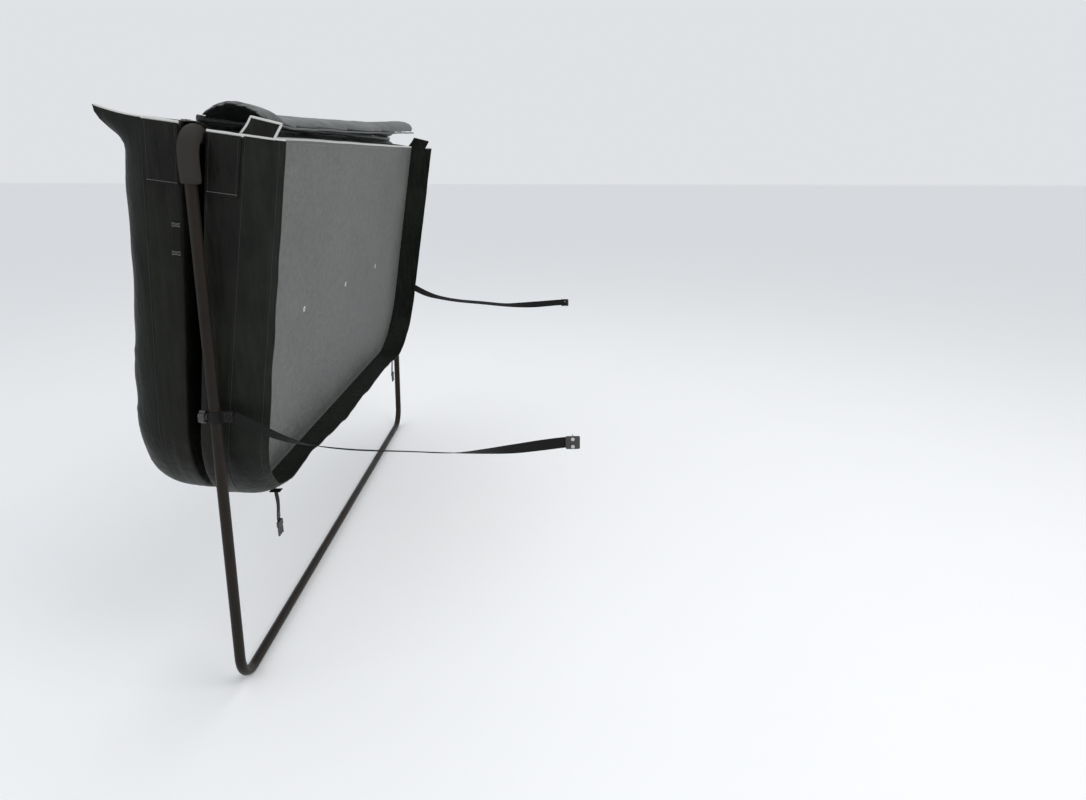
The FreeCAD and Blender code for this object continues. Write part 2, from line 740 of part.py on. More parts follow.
def near_anchor_plate():
    """The plate that clamps the strap's end to the cabinet, with rounded corners."""
    half, tall = ANCHOR_WIDTH / 2, ANCHOR_HEIGHT / 2
    plate = block(
        ANCHOR_X - half,
        ANCHOR_X + half,
        ANCHOR_BACK - ANCHOR_THICKNESS,
        ANCHOR_BACK,
        ANCHOR_Z - tall,
        ANCHOR_Z + tall,
    )
    corners = [e for e in plate.Edges if abs(e.tangentAt(0).y) > 0.9]
    plate = plate.makeFillet(4.0, corners)
    return plate.cut(anchor_bores(SCREW_RADIUS + SCREW_CLEARANCE))


def near_anchor_screws():
    """Pan-head screws through plate and strap, standing out of the back into the cabinet."""
    outside = ANCHOR_BACK - ANCHOR_THICKNESS
    screws = []
    for spot in anchor_spots():
        under = Vector(spot.x, outside, spot.z)
        head = rod(SCREW_RADIUS * 2.2, under - Vector(0, 2.4, 0), under)
        shank = rod(SCREW_RADIUS, under - Vector(0, 1, 0), spot + Vector(0, SCREW_DEPTH, 0))
        screws.append(head.fuse(shank).removeSplitter())
    return Part.makeCompound(screws)


# ---- build ----
def build_lifter():
    for name, near in (
        ("lower_tube", near_lower_tube()),
        ("upper_tube", near_upper_tube()),
        ("post_coupler", near_post_coupler()),
        ("foam_sleeve", near_foam_sleeve()),
        ("strap_loop", near_strap_loop()),
        ("knob", near_knob()),
    ):
        save("near_" + name, on_frame(near))
        save("far_" + name, on_frame(mirrored_y(near)))
    save("ground_coupler", on_frame(bar_coupler(0)))
    save("top_coupler", on_frame(bar_coupler(FRAME_HEIGHT)))
    save("coupler_rivets", on_frame(coupler_rivets()))
    save("thread_inserts", on_frame(both_ends(near_thread_insert())))
    save("mid_foam_sleeve", on_frame(mid_foam_sleeve()))


def build_half(name, edge, place, zip_middle):
    for piece, shape in (
        ("foam_core", foam_core()),
        ("hinge_channel", hinge_channel()),
        ("vapour_film", vapour_film()),
        ("vinyl_jacket", jacket()),
        ("underside_panel", underside_panel()),
        ("skirt", skirt()),
        ("skirt_hem", skirt_hem()),
        ("end_patches", both_ends(end_patch())),
        ("grommets", grommets()),
        ("zip_tape", zip_tape(zip_middle)),
        ("zip_slider", zip_slider(zip_middle)),
    ):
        save(name + "_" + piece, place(lowered(shape, edge)))


def build_cover():
    build_half("back", BACK_EDGE, on_cover, UNDERSIDE[0] - BACK_ZIP_INSET)
    build_half("front", FRONT_EDGE, on_front, BAR_GAP + STRIP_LAP + FRONT_ZIP_ROOM + ZIP_TAPE_WIDTH / 2)
    save("back_gap_flaps", on_cover(lowered(both_ends(gap_flap()), BACK_EDGE)))
    save("back_tie_tabs", on_cover(lowered(both_ends(tie_tab()), BACK_EDGE)))
    save("front_pull_tabs", on_front(lowered(both_ends(pull_tab()), FRONT_EDGE)))
    save("hinge_strip", on_cover(hinge_strip()))
    save("hinge_seal", on_cover(hinge_seal()))
    for name, near in (("tie_strap", tie_strap()), ("tie_clip", tie_clip())):
        save("near_" + name, near)
        save("far_" + name, mirrored_y(near))


def build_anchors():
    for name, near in (
        ("stop_strap", near_stop_strap()),
        ("anchor_plate", near_anchor_plate()),
    ):
        save("near_" + name, near)
        save("far_" + name, far_anchored(near))
    screws = near_anchor_screws()
    save("anchor_screws", Part.makeCompound([screws, far_anchored(screws)]))


build_lifter()
build_cover()
build_anchors()
print("top bar axis", [round(v, 2) for v in BAR], "underside slope", round(UNDERSIDE_SLOPE, 3))
print("tie strap root", [round(v, 2) for v in tie_point()])
print("knob centre", [round(v, 2) for v in frame_point(-30, -POST_Y, KNOB_HEIGHT)])
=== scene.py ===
"""Spa cover on its rocking lifter: vinyl, foam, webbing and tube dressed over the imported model."""
import json
import math

import bmesh
import bpy
from mathutils import Matrix, Vector, noise


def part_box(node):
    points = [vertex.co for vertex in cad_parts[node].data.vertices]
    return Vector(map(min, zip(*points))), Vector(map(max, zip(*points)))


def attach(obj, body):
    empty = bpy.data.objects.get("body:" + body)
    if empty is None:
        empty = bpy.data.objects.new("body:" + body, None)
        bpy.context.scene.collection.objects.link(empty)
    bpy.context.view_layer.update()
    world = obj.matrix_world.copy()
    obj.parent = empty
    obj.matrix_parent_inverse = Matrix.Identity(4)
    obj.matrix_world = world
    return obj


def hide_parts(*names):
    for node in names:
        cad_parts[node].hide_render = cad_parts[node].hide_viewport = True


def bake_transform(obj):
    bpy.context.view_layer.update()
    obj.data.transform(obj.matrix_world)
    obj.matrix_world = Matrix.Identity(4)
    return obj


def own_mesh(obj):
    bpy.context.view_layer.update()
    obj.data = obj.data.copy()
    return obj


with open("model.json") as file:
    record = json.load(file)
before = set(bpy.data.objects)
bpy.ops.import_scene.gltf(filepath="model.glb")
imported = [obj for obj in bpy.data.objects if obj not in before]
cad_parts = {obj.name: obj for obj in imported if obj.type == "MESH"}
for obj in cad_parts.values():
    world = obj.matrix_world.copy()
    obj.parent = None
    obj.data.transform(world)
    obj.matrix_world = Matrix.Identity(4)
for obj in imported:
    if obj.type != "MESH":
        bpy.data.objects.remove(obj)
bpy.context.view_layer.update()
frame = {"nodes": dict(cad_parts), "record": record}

bl_info = {
    "name": "Spa cover and lifter",
    "version": (1, 0, 0),
    "blender": (4, 5, 0),
    "location": "View3D > Sidebar > Spa cover",
    "description": "Builds the sewn cover, its hinge, straps and lifter finishes over the model",
    "category": "Object",
}

RECORD = frame["record"]
JOINTS = {joint["name"]: joint for joint in RECORD["behaviour"]["joints"]}
SLOT_OF = {part["node"]: part["material_slot"] for part in RECORD["subparts"]}

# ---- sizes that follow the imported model, in metres ----
BAR = Vector(JOINTS["back_half_swing"]["pos_m"])
COVER_LEAN = math.radians(7.7)
FRAME_LEAN = math.radians(2.15)
FRAME_HEIGHT = 1.522
TUBE_RADIUS = 0.014
POST_Y = 1.1
TOP_BEND = 0.05
SLEEVE_RADIUS = 0.024
SLEEVE_DROP = 0.118
SLEEVE_SPLIT = 0.7
KNOB_HEIGHT = 0.816
HALF_LENGTH = 1.05
HALF_WIDTH = 1.065
CORNER = 0.28
TOP_FACE = (0.029, 0.012)
UNDERSIDE = (0.118, 0.074)
EDGE = {"back": 0.012, "front": 0.022}
SIDE = {"back": 1, "front": -1}
SKIRT_DEPTH = 0.1
STRAP_WIDTH = 0.032
ANCHOR = Vector((0.96, -1.035, 0.715))
TIE_PLACE = 0.825
FINE_PITCH = 0.0026
HALVES = ("back", "front")
ENDS = (("near", -1), ("far", 1))


def hung(x, y, z):
    """From the folded cover's axes, with the top bar as origin, to the row."""
    c, s = math.cos(COVER_LEAN), math.sin(COVER_LEAN)
    return Vector((BAR.x + x * c + z * s, y, BAR.z + z * c - x * s))


def on_lifter(x, y, z):
    """From the upright lifter's axes, with the ground bar as origin, to its lean."""
    c, s = math.cos(FRAME_LEAN), math.sin(FRAME_LEAN)
    return Vector((x * c + z * s, y, z * c - x * s + TUBE_RADIUS))


def on_half(half, x, y, u):
    """A point of a half: x out from the bar, u down from its hinge edge."""
    return hung(SIDE[half] * x, y, EDGE[half] - u)


def along(line, u):
    """A value that runs evenly from a half's hinge edge to its outer edge, at u."""
    return line[0] + (line[1] - line[0]) * u / HALF_LENGTH


def smooth(t):
    t = min(1.0, max(0.0, t))
    return t * t * (3 - 2 * t)


def ripple(x, y, z=0.0):
    return noise.noise(Vector((x, y, z)))


def spread(values, t):
    """A smooth value between evenly spaced ones (numbers or vectors), t from 0 to 1."""
    last = len(values) - 1
    f = min(max(t, 0.0), 1.0) * last
    i = min(int(f), last - 1)
    f -= i
    a, b = values[max(i - 1, 0)], values[i]
    c, d = values[i + 1], values[min(i + 2, last)]
    return b + (c - a) * (0.5 * f) + (a * 2 - b * 5 + c * 4 - d) * (0.5 * f * f) + (
        (b - c) * 3 + d - a) * (0.5 * f ** 3)


# ---- meshes ----
def piece(name, verts, faces, uvs=None, sharp=50):
    """An object from points and faces, smooth but for edges sharper than an angle in degrees."""
    mesh = bpy.data.meshes.new(name)
    mesh.from_pydata([tuple(v) for v in verts], [], faces)
    if uvs:
        layer = mesh.uv_layers.new(name="UVMap")
        for loop in mesh.loops:
            layer.data[loop.index].uv = uvs[loop.vertex_index]
    mesh.validate()
    mesh.shade_smooth()
    mesh.set_sharp_from_angle(angle=math.radians(sharp))
    obj = bpy.data.objects.new(name, mesh)
    bpy.context.scene.collection.objects.link(obj)
    return obj


def outward(obj):
    """Turns the faces of a closed skin outwards."""
    work = bmesh.new()
    work.from_mesh(obj.data)
    bmesh.ops.remove_doubles(work, verts=work.verts, dist=1e-6)
    bmesh.ops.recalc_face_normals(work, faces=work.faces)
    work.to_mesh(obj.data)
    work.free()
    return obj


def dressed(obj, slot, body=None, replaces=(), finish=None):
    """Gives a piece its finish, its slot, the body it rides on and the nodes it stands for."""
    obj.data.materials.clear()
    obj.data.materials.append(MATERIALS[finish or slot])
    if body:
        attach(obj, body)
    if replaces:
        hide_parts(*replaces)
    return obj


def cloth_grid(name, grid, thickness, sharp=60):
    """A closed two-layer sheet through a grid of points; thickness may be a function of (i, j)."""
    rows, cols = len(grid), len(grid[0])
    thick = thickness if callable(thickness) else (lambda i, j: thickness)
    verts, uvs = [], []
    run = [0.0]
    for i in range(1, rows):
        run.append(run[-1] + (grid[i][cols // 2] - grid[i - 1][cols // 2]).length)
    wide = [0.0]
    for j in range(1, cols):
        wide.append(wide[-1] + (grid[rows // 2][j] - grid[rows // 2][j - 1]).length)
    for sign in (0.5, -0.5):
        for i in range(rows):
            for j in range(cols):
                down = grid[min(i + 1, rows - 1)][j] - grid[max(i - 1, 0)][j]
                over = grid[i][min(j + 1, cols - 1)] - grid[i][max(j - 1, 0)]
                normal = down.cross(over).normalized()
                verts.append(grid[i][j] + normal * (sign * thick(i, j)))
                uvs.append((wide[j], run[i]))
    low = rows * cols
    faces = []
    for i in range(rows - 1):
        for j in range(cols - 1):
            a, b = i * cols + j, i * cols + j + 1
            c, d = b + cols, a + cols
            faces += [(a, d, c, b), (a + low, b + low, c + low, d + low)]
    rim = list(range(cols))
    rim += [i * cols + cols - 1 for i in range(1, rows)]
    rim += [(rows - 1) * cols + j for j in range(cols - 2, -1, -1)]
    rim += [i * cols for i in range(rows - 2, 0, -1)]
    for a, b in zip(rim, rim[1:] + rim[:1]):
        faces.append((a, b, b + low, a + low))
    return outward(piece(name, verts, faces, uvs, sharp))


def swept(name, points, ups, section, closed=False, sharp=50):
    """Carries a section of (across, up) offsets along points, with ends closed."""
    count, size = len(points), len(section)
    verts, uvs, run = [], [], 0.0
    for i, p in enumerate(points):
        before = points[i - 1] if i or closed else p
        after = points[(i + 1) % count] if i < count - 1 or closed else p
        tangent = (after - before).normalized()
        up = ups[i] if isinstance(ups, list) else ups
        over = tangent.cross(up).normalized()
        rise = over.cross(tangent)
        run += (p - points[i - 1]).length if i else 0.0
        for a, b in section:
            verts.append(p + over * a + rise * b)
            uvs.append((a, run))
    faces = []
    for i in range(count if closed else count - 1):
        for j in range(size):
            k = (j + 1) % size
            n = (i + 1) % count
            faces.append((i * size + j, i * size + k, n * size + k, n * size + j))
    if not closed:
        faces += [tuple(range(size)), tuple(range((count - 1) * size, count * size))]
    return outward(piece(name, verts, faces, uvs, sharp))


def oval(wide, tall, sides=10):
    return [
        (wide / 2 * math.cos(2 * math.pi * i / sides), tall / 2 * math.sin(2 * math.pi * i / sides))
        for i in range(sides)
    ]


def band(wide, thick, columns=6):
    """A webbing section with rounded selvedges."""
    w, t = wide / 2, thick / 2
    top = [(w - t * 0.4, t * 0.7)]
    top += [(w - t - (2 * w - 2 * t) * i / columns, t) for i in range(columns + 1)]
    top += [(-w + t * 0.4, t * 0.7)]
    return [(w, 0.0)] + top + [(-w, 0.0)] + [(a, -b) for a, b in reversed(top)]


def joined(name, objects):
    """One mesh from several, for pieces that are one thing."""
    work = bmesh.new()
    for obj in objects:
        work.from_mesh(obj.data)
        bpy.data.objects.remove(obj)
    mesh = bpy.data.meshes.new(name)
    work.to_mesh(mesh)
    work.free()
    result = bpy.data.objects.new(name, mesh)
    bpy.context.scene.collection.objects.link(result)
    return result


# ---- nodes ----
def node(tree, kind, inputs, **settings):
    """Adds a node with its settings; each input takes a value or the socket that feeds it."""
    made = tree.nodes.new(kind)
    for name, value in settings.items():
        setattr(made, name, value)
    for name, value in inputs.items():
        if isinstance(value, bpy.types.NodeSocket):
            tree.links.new(value, made.inputs[name])
        else:
            made.inputs[name].default_value = value
    return made


# ---- repeats: stitches, zip coils, rivet heads ----
def repeat_tree(label, shape, material, sizes):
    """A node tree that sets one small shape at every step along a curve, or on given points."""
    tree = bpy.data.node_groups.new(label, "GeometryNodeTree")
    face = tree.interface
    face.new_socket("Geometry", in_out="INPUT", socket_type="NodeSocketGeometry")
    for title, value in sizes.items():
        socket = face.new_socket(title, in_out="INPUT", socket_type="NodeSocketFloat")
        socket.default_value = value
        socket.subtype = "DISTANCE"
    face.new_socket("Geometry", in_out="OUTPUT", socket_type="NodeSocketGeometry")
    start = tree.nodes.new("NodeGroupInput").outputs

    def ball(segments, rings, radius, scale):
        form = node(tree, "GeometryNodeMeshUVSphere", {
            "Segments": segments, "Rings": rings, "Radius": start[radius]})
        return node(tree, "GeometryNodeTransform", {"Geometry": form.outputs["Mesh"], "Scale": scale})

    def stitch():
        form = node(tree, "GeometryNodeMeshCone", {
            "Vertices": 6, "Side Segments": 1, "Radius Bottom": start["Thickness"],
            "Radius Top": start["Thickness"], "Depth": start["Length"]})
        half = node(tree, "ShaderNodeMath", {0: start["Length"], 1: -0.5}, operation="MULTIPLY")
        shift = node(tree, "ShaderNodeCombineXYZ", {"Z": half.outputs[0]})
        return node(tree, "GeometryNodeTransform", {
            "Geometry": form.outputs["Mesh"], "Translation": shift.outputs[0]})

    if shape == "rivet":
        spots = start["Geometry"]
        way = node(tree, "GeometryNodeInputNamedAttribute", {"Name": "outward"},
                   data_type="FLOAT_VECTOR").outputs["Attribute"]
        form = ball(20, 10, "Radius", (1.0, 1.0, 0.38))
    else:
        spots = node(tree, "GeometryNodeResampleCurve", {
            "Curve": start["Geometry"], "Length": start["Pitch"]}, mode="LENGTH").outputs["Curve"]
        way = node(tree, "GeometryNodeInputTangent", {}).outputs["Tangent"]
        form = stitch() if shape == "stitch" else ball(8, 5, "Width", (1.0, 0.5, 0.22))
    turn = node(tree, "FunctionNodeAlignRotationToVector", {"Vector": way}, axis="Z")
    place = node(tree, "GeometryNodeInstanceOnPoints", {
        "Points": spots, "Instance": form.outputs["Geometry"], "Rotation": turn.outputs["Rotation"]})
    real = node(tree, "GeometryNodeRealizeInstances", {"Geometry": place.outputs["Instances"]})
    paint = node(tree, "GeometryNodeSetMaterial", {
        "Geometry": real.outputs["Geometry"], "Material": material})
    node(tree, "NodeGroupOutput", {"Geometry": paint.outputs["Geometry"]})
    return tree


def repeated(name, source, shape, sizes, material, body):
    """Repeats a small shape on a curve or points, and keeps the plain mesh."""
    tree = repeat_tree(name, shape, MATERIALS[material], sizes)
    run = source.modifiers.new("repeat", "NODES")
    run.node_group = tree
    for item in tree.interface.items_tree:
        if item.in_out == "INPUT" and item.name in sizes:
            run[item.identifier] = sizes[item.name]
    bpy.context.view_layer.update()
    graph = bpy.context.evaluated_depsgraph_get()
    mesh = bpy.data.meshes.new_from_object(source.evaluated_get(graph))
    if not mesh.polygons:
        raise RuntimeError(name + " came out empty")
    obj = bpy.data.objects.new(name, mesh)
    bpy.context.scene.collection.objects.link(obj)
    bpy.data.objects.remove(source)
    mesh.shade_smooth()
    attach(obj, body)
    return obj


def runs(name, lines):
    """A curve object with one straight-sided spline for each list of points."""
    data = bpy.data.curves.new(name, "CURVE")
    data.dimensions = "3D"
    for line in lines:
        spline = data.splines.new("POLY")
        spline.points.add(len(line) - 1)
        for point, place in zip(spline.points, line):
            point.co = (*place, 1.0)
    obj = bpy.data.objects.new(name + "_runs", data)
    bpy.context.scene.collection.objects.link(obj)
    return obj


def stitched(name, lines, body, thread="thread", pitch=None):
    """Sews a row of stitches along every line."""
    sizes = bpy.context.scene.spa_cover_sizes
    pace = pitch or sizes.stitch_pitch
    values = {"Pitch": pace, "Length": pace * sizes.stitch_share, "Thickness": sizes.thread_radius}
    return repeated(name, runs(name, lines), "stitch", values, thread, body)


# ---- finishes ----
MATERIALS = {}


def finish(name, base, shade, rough, patterns, metal=0.0, coat=0.0, sheen=0.0, uv=False,
           blotch=(3.0, 0.35), depth=0.0006, specular=0.5):
    """A material: two tones by a slow blotch and the first pattern, roughness by the blotch and bump by
    all.

    Each pattern is (kind, scale, weight), its scale in repeats a metre along x, y, z."""
    mat = bpy.data.materials.new(name)
    mat.use_nodes = True
    tree = mat.node_tree
    shader = tree.nodes["Principled BSDF"].inputs
    for title, value in (("Metallic", metal), ("Coat Weight", coat), ("Coat Roughness", 0.35),
                         ("Sheen Weight", sheen), ("Sheen Roughness", 0.6),
                         ("Specular IOR Level", specular)):
        shader[title].default_value = value
    where = tree.nodes.new("ShaderNodeTexCoord").outputs["UV" if uv else "Object"]

    def maths(kind, a, b):
        return node(tree, "ShaderNodeMath", {0: a, 1: b}, operation=kind).outputs[0]

    def mapped(scale):
        return node(tree, "ShaderNodeMapping", {"Vector": where, "Scale": scale}).outputs[0]

    def pattern(kind, scale):
        if kind == "weave":
            return maths("MULTIPLY", pattern("bands_x", scale), pattern("bands_y", scale))
        if kind in ("bands_x", "bands_y"):
            return node(tree, "ShaderNodeTexWave", {
                "Scale": 0.3183, "Distortion": 0.4, "Detail": 1.0, "Vector": mapped(scale)},
                bands_direction=kind[-1].upper()).outputs["Fac"]
        if kind == "cells":
            return node(tree, "ShaderNodeTexVoronoi", {
                "Scale": 1.0, "Vector": mapped(scale)}).outputs["Distance"]
        return node(tree, "ShaderNodeTexNoise", {
            "Scale": 1.0, "Detail": 6.0 if kind == "cloud" else 2.0, "Roughness": 0.62,
            "Vector": mapped(scale)}).outputs["Fac"]

    slow = pattern("cloud", (blotch[0],) * 3)
    total = None
    first = None
    for kind, scale, weight in patterns:
        value = pattern(kind, scale if isinstance(scale, tuple) else (scale,) * 3)
        first = first or value
        value = maths("MULTIPLY", value, float(weight))
        total = value if total is None else maths("ADD", total, value)
    tone = maths("ADD", maths("MULTIPLY", slow, blotch[1]), maths("MULTIPLY", first, 0.4))
    ramp = node(tree, "ShaderNodeValToRGB", {"Fac": tone})
    for stop, colour, share in zip(ramp.color_ramp.elements, (base, shade), (0.32, 0.68)):
        stop.color = (*colour, 1.0)
        stop.position = share * (blotch[1] + 0.4)
    matte = node(tree, "ShaderNodeMapRange", {
        "Value": slow, "From Min": 0.3, "From Max": 0.7, "To Min": rough[0], "To Max": rough[1]})
    bump = node(tree, "ShaderNodeBump", {"Strength": 0.7, "Distance": depth, "Height": total})
    tree.links.new(ramp.outputs["Color"], shader["Base Color"])
    tree.links.new(matte.outputs["Result"], shader["Roughness"])
    tree.links.new(bump.outputs["Normal"], shader["Normal"])
    MATERIALS[name] = mat


def tint(colour, factor, cast=(1.0, 1.0, 1.0)):
    """A colour made lighter or darker, with a slight cast."""
    return tuple(min(1.0, c * factor * k) for c, k in zip(colour, cast))


def make_finishes():
    """Every finish, each as two tones, a range of roughness and its patterns."""
    c = bpy.context.scene.spa_cover_colours
    vinyl, grey = tuple(c.vinyl), tuple(c.underside)
    grain = [("noise", (60.0, 60.0, 6.0), 0.5), ("cells", 620.0, 0.05), ("cloud", 17.0, 1.0)]
    finish("vinyl", tint(vinyl, 0.6), tint(vinyl, 2.8, (1.05, 1.06, 0.9)), (0.32, 0.5), grain,
           blotch=(6.0, 0.6), depth=0.006, specular=0.13)
    finish("skirt_vinyl", tint(vinyl, 1.0), tint(vinyl, 3.4, (0.98, 1.1, 0.98)), (0.34, 0.52),
           grain, blotch=(7.0, 0.6), depth=0.006, specular=0.12)
    # The seal's finish is the cover's vinyl lightened 2.4 to 10 times, a lit copy of it: painted
    # highlight on the hinge seal.
    finish("seal_vinyl_painted_highlight", tint(vinyl, 2.4), tint(vinyl, 10.0, (0.9, 1.05, 1.12)), (0.3, 0.46),
           grain, blotch=(6.0, 0.5), depth=0.004, specular=0.35)
    finish("underside", tint(grey, 0.8), tint(grey, 1.55, (1.03, 1.0, 0.95)), (0.5, 0.7),
           [("cloud", (52.0, 36.0, 52.0), 1.0), ("noise", (320.0, 120.0, 320.0), 0.16),
            ("weave", 900.0, 0.05)], blotch=(2.0, 0.5), depth=0.008, specular=0.35)
    # binding: the pale tone of the strips on the hinge edges, the skirt ends and the near gap flap,
    # painted highlight along those edges.
    finish("binding", tint(tuple(c.binding), 0.86), tuple(c.binding), (0.6, 0.8),
           [("bands_y", 900.0, 0.7), ("noise", 400.0, 0.4)], depth=0.0004, uv=True, sheen=0.2)
    finish("thread", tint(tuple(c.thread), 0.8), tuple(c.thread), (0.6, 0.75),
           [("noise", 1600.0, 0.6)], depth=0.0002)
    finish("dark_thread", (0.02, 0.02, 0.02), (0.05, 0.05, 0.048), (0.5, 0.7),
           [("noise", 1600.0, 0.6)], depth=0.0002)
    finish("foam", (0.74, 0.74, 0.71), (0.9, 0.9, 0.87), (0.75, 0.9),
           [("cells", 260.0, 1.0), ("noise", 900.0, 0.2)], depth=0.0016)
    finish("film", (0.62, 0.65, 0.68), (0.84, 0.86, 0.88), (0.12, 0.3),
           [("cloud", 22.0, 1.0), ("noise", 120.0, 0.3)], depth=0.002, coat=0.4)
    finish("channel", (0.42, 0.43, 0.44), (0.66, 0.67, 0.68), (0.3, 0.5),
           [("cells", 70.0, 0.5), ("noise", 500.0, 0.2)], metal=1.0, depth=0.0002)
    finish("tube", tuple(c.tube), tint(tuple(c.tube), 2.0, (1.1, 1.0, 0.9)), (0.32, 0.5),
           [("noise", 420.0, 0.5), ("cloud", 60.0, 0.7)], blotch=(9.0, 0.5), depth=0.0003, specular=0.16)
    finish("coupler", (0.4, 0.4, 0.39), (0.58, 0.58, 0.57), (0.25, 0.42),
           [("noise", (90.0, 900.0, 90.0), 0.5)], metal=1.0, depth=0.0002)
    foam = tuple(c.sleeve)
    finish("sleeve_foam", tint(foam, 0.78), tint(foam, 1.25), (0.8, 0.95),
           [("cells", 900.0, 0.8), ("cloud", 45.0, 0.8)], blotch=(14.0, 0.6), depth=0.0009,
           specular=0.25)
    web = tuple(c.webbing)
    finish("webbing", web, tint(web, 2.6), (0.5, 0.7),
           [("weave", (1500.0, 2200.0, 1.0), 1.0), ("bands_x", (620.0, 1.0, 1.0), 0.5)],
           depth=0.0006, uv=True, specular=0.15)
    finish("knob", (0.022, 0.022, 0.023), (0.05, 0.05, 0.05), (0.36, 0.5),
           [("noise", 1300.0, 0.6)], depth=0.0002)
    finish("plate", (0.03, 0.03, 0.03), (0.075, 0.07, 0.065), (0.4, 0.55),
           [("noise", 700.0, 0.6), ("cloud", 90.0, 0.6)], metal=0.3, depth=0.0003)
    finish("screw", (0.42, 0.42, 0.41), (0.62, 0.62, 0.6), (0.2, 0.34),
           [("noise", 900.0, 0.3)], metal=1.0, depth=0.0001)
    finish("grommet", (0.62, 0.62, 0.59), (0.78, 0.78, 0.75), (0.35, 0.5),
           [("noise", 500.0, 0.5)], depth=0.0002)
    finish("zip", (0.022, 0.022, 0.022), (0.06, 0.06, 0.06), (0.55, 0.75),
           [("weave", 1400.0, 0.9)], depth=0.0004, sheen=0.2)
    finish("zip_metal", (0.34, 0.33, 0.31), (0.5, 0.49, 0.47), (0.22, 0.36),
           [("noise", 700.0, 0.3)], metal=1.0, depth=0.0001)
    finish("floor", (0.9, 0.905, 0.91), (0.91, 0.915, 0.92), (0.7, 0.8),
           [("cloud", 1.2, 0.4)], depth=0.0002)


# ---- cover halves ----
def outline(s, v, inset):
    """(y, u) of a spot of the half's plan: s across from -1 to 1, v down from 0 to 1."""
    reach, side, turn = HALF_LENGTH - inset, HALF_WIDTH - inset, CORNER - inset
    bend = 0.74
    if v <= bend:
        return s * side, inset + (reach - turn - inset) * v / bend
    angle = (v - bend) / (1 - bend) * math.pi / 2
    return s * (side - turn + turn * math.cos(angle)), reach - turn + turn * math.sin(angle)


def cover_shell(half):
    """The sewn vinyl jacket, crowned on its faces, rounded and creased round its walls."""
    sizes = bpy.context.scene.spa_cover_sizes
    cols, rows, walls, bends = 132, 72, 9, 3
    radius, low_radius, over, under = 0.006, 0.003, 0.0015, 0.0002
    seed = 3.0 if half == "back" else 17.0
    verts, faces = [], []

    def add(s, v, inset, x_of, out=0.0):
        y, u = outline(s, v, inset - out)
        verts.append(on_half(half, x_of(u, y), y, u))
        return len(verts) - 1

    def crowned(u, y):
        edge = min(1.0, min(u, HALF_LENGTH - u, HALF_WIDTH - abs(y)) / 0.12)
        crease = ripple(y * 5, u * 7, seed) + 0.5 * ripple(y * 16, u * 13, seed)
        crown = 0.0012 * smooth(edge) + sizes.crease * 0.5 * max(0, crease) * edge
        return along(TOP_FACE, u) - over - crown

    def flat(u, y):
        return along(UNDERSIDE, u) - under

    s_of = [-1 + 2 * i / cols for i in range(cols + 1)]
    v_of = [j / rows for j in range(rows + 1)]
    grids = [[[add(s, v, inset, face) for s in s_of] for v in v_of]
             for face, inset in ((crowned, radius), (flat, low_radius))]
    for grid, turned in zip(grids, (False, True)):
        for j in range(rows):
            for i in range(cols):
                f = (grid[j][i], grid[j][i + 1], grid[j + 1][i + 1], grid[j + 1][i])
                faces.append(f[::-1] if turned else f)
    rim = [(i, 0) for i in range(cols)] + [(cols, j) for j in range(rows)]
    rim += [(i, rows) for i in range(cols, 0, -1)] + [(0, j) for j in range(rows, 0, -1)]
    rings = [[grids[0][j][i] for i, j in rim]]
    for k in range(1, walls + 2 * bends):
        ring = []
        for i, j in rim:
            s, v = s_of[i], v_of[j]
            y0, u0 = outline(s, v, 0.0)
            top, low = along(TOP_FACE, u0) - over, along(UNDERSIDE, u0) - under
            base = 0.0003 if v == 0.0 else over
            if k < bends:
                angle = k / bends * math.pi / 2
                inset, x = radius * (1 - math.sin(angle)), top + radius * (1 - math.cos(angle))
                out = base * math.sin(angle)
            elif k >= walls + bends:
                angle = (walls + 2 * bends - k) / bends * math.pi / 2
                inset = low_radius * (1 - math.sin(angle))
                x = low - low_radius * (1 - math.cos(angle))
                out = base * math.sin(angle)
            else:
                f = (k - bends) / (walls - 1)
                inset, x = 0.0, top + radius + (low - top - radius - low_radius) * f
                run = u0 if abs(y0) > HALF_WIDTH - CORNER else y0 * 2
                fold = ripple(x * 55, run * 5, seed + y0) + 0.7 * ripple(x * 24, run * 12, seed)
                fold += 0.5 * abs(ripple(x * 90, run * 2.2, seed + 9))
                out = base
                if v > 0.0:
                    out += max(-0.001, 1.2 * sizes.crease * fold * math.sin(math.pi * f) ** 0.5)
            ring.append(add(s, v, inset, lambda u, y: x, min(out, 0.0045)))
        rings.append(ring)
    rings.append([grids[1][j][i] for i, j in rim])
    for a, b in zip(rings, rings[1:]):
        for i in range(len(rim)):
            k = (i + 1) % len(rim)
            faces.append((a[i], b[i], b[k], a[k]))
    obj = outward(piece(half + "_cover", verts, faces, sharp=70))
    return dressed(obj, "vinyl", half + "_half", [half + "_vinyl_jacket"])


GROMMETS = (-0.5, 0.0, 0.5)


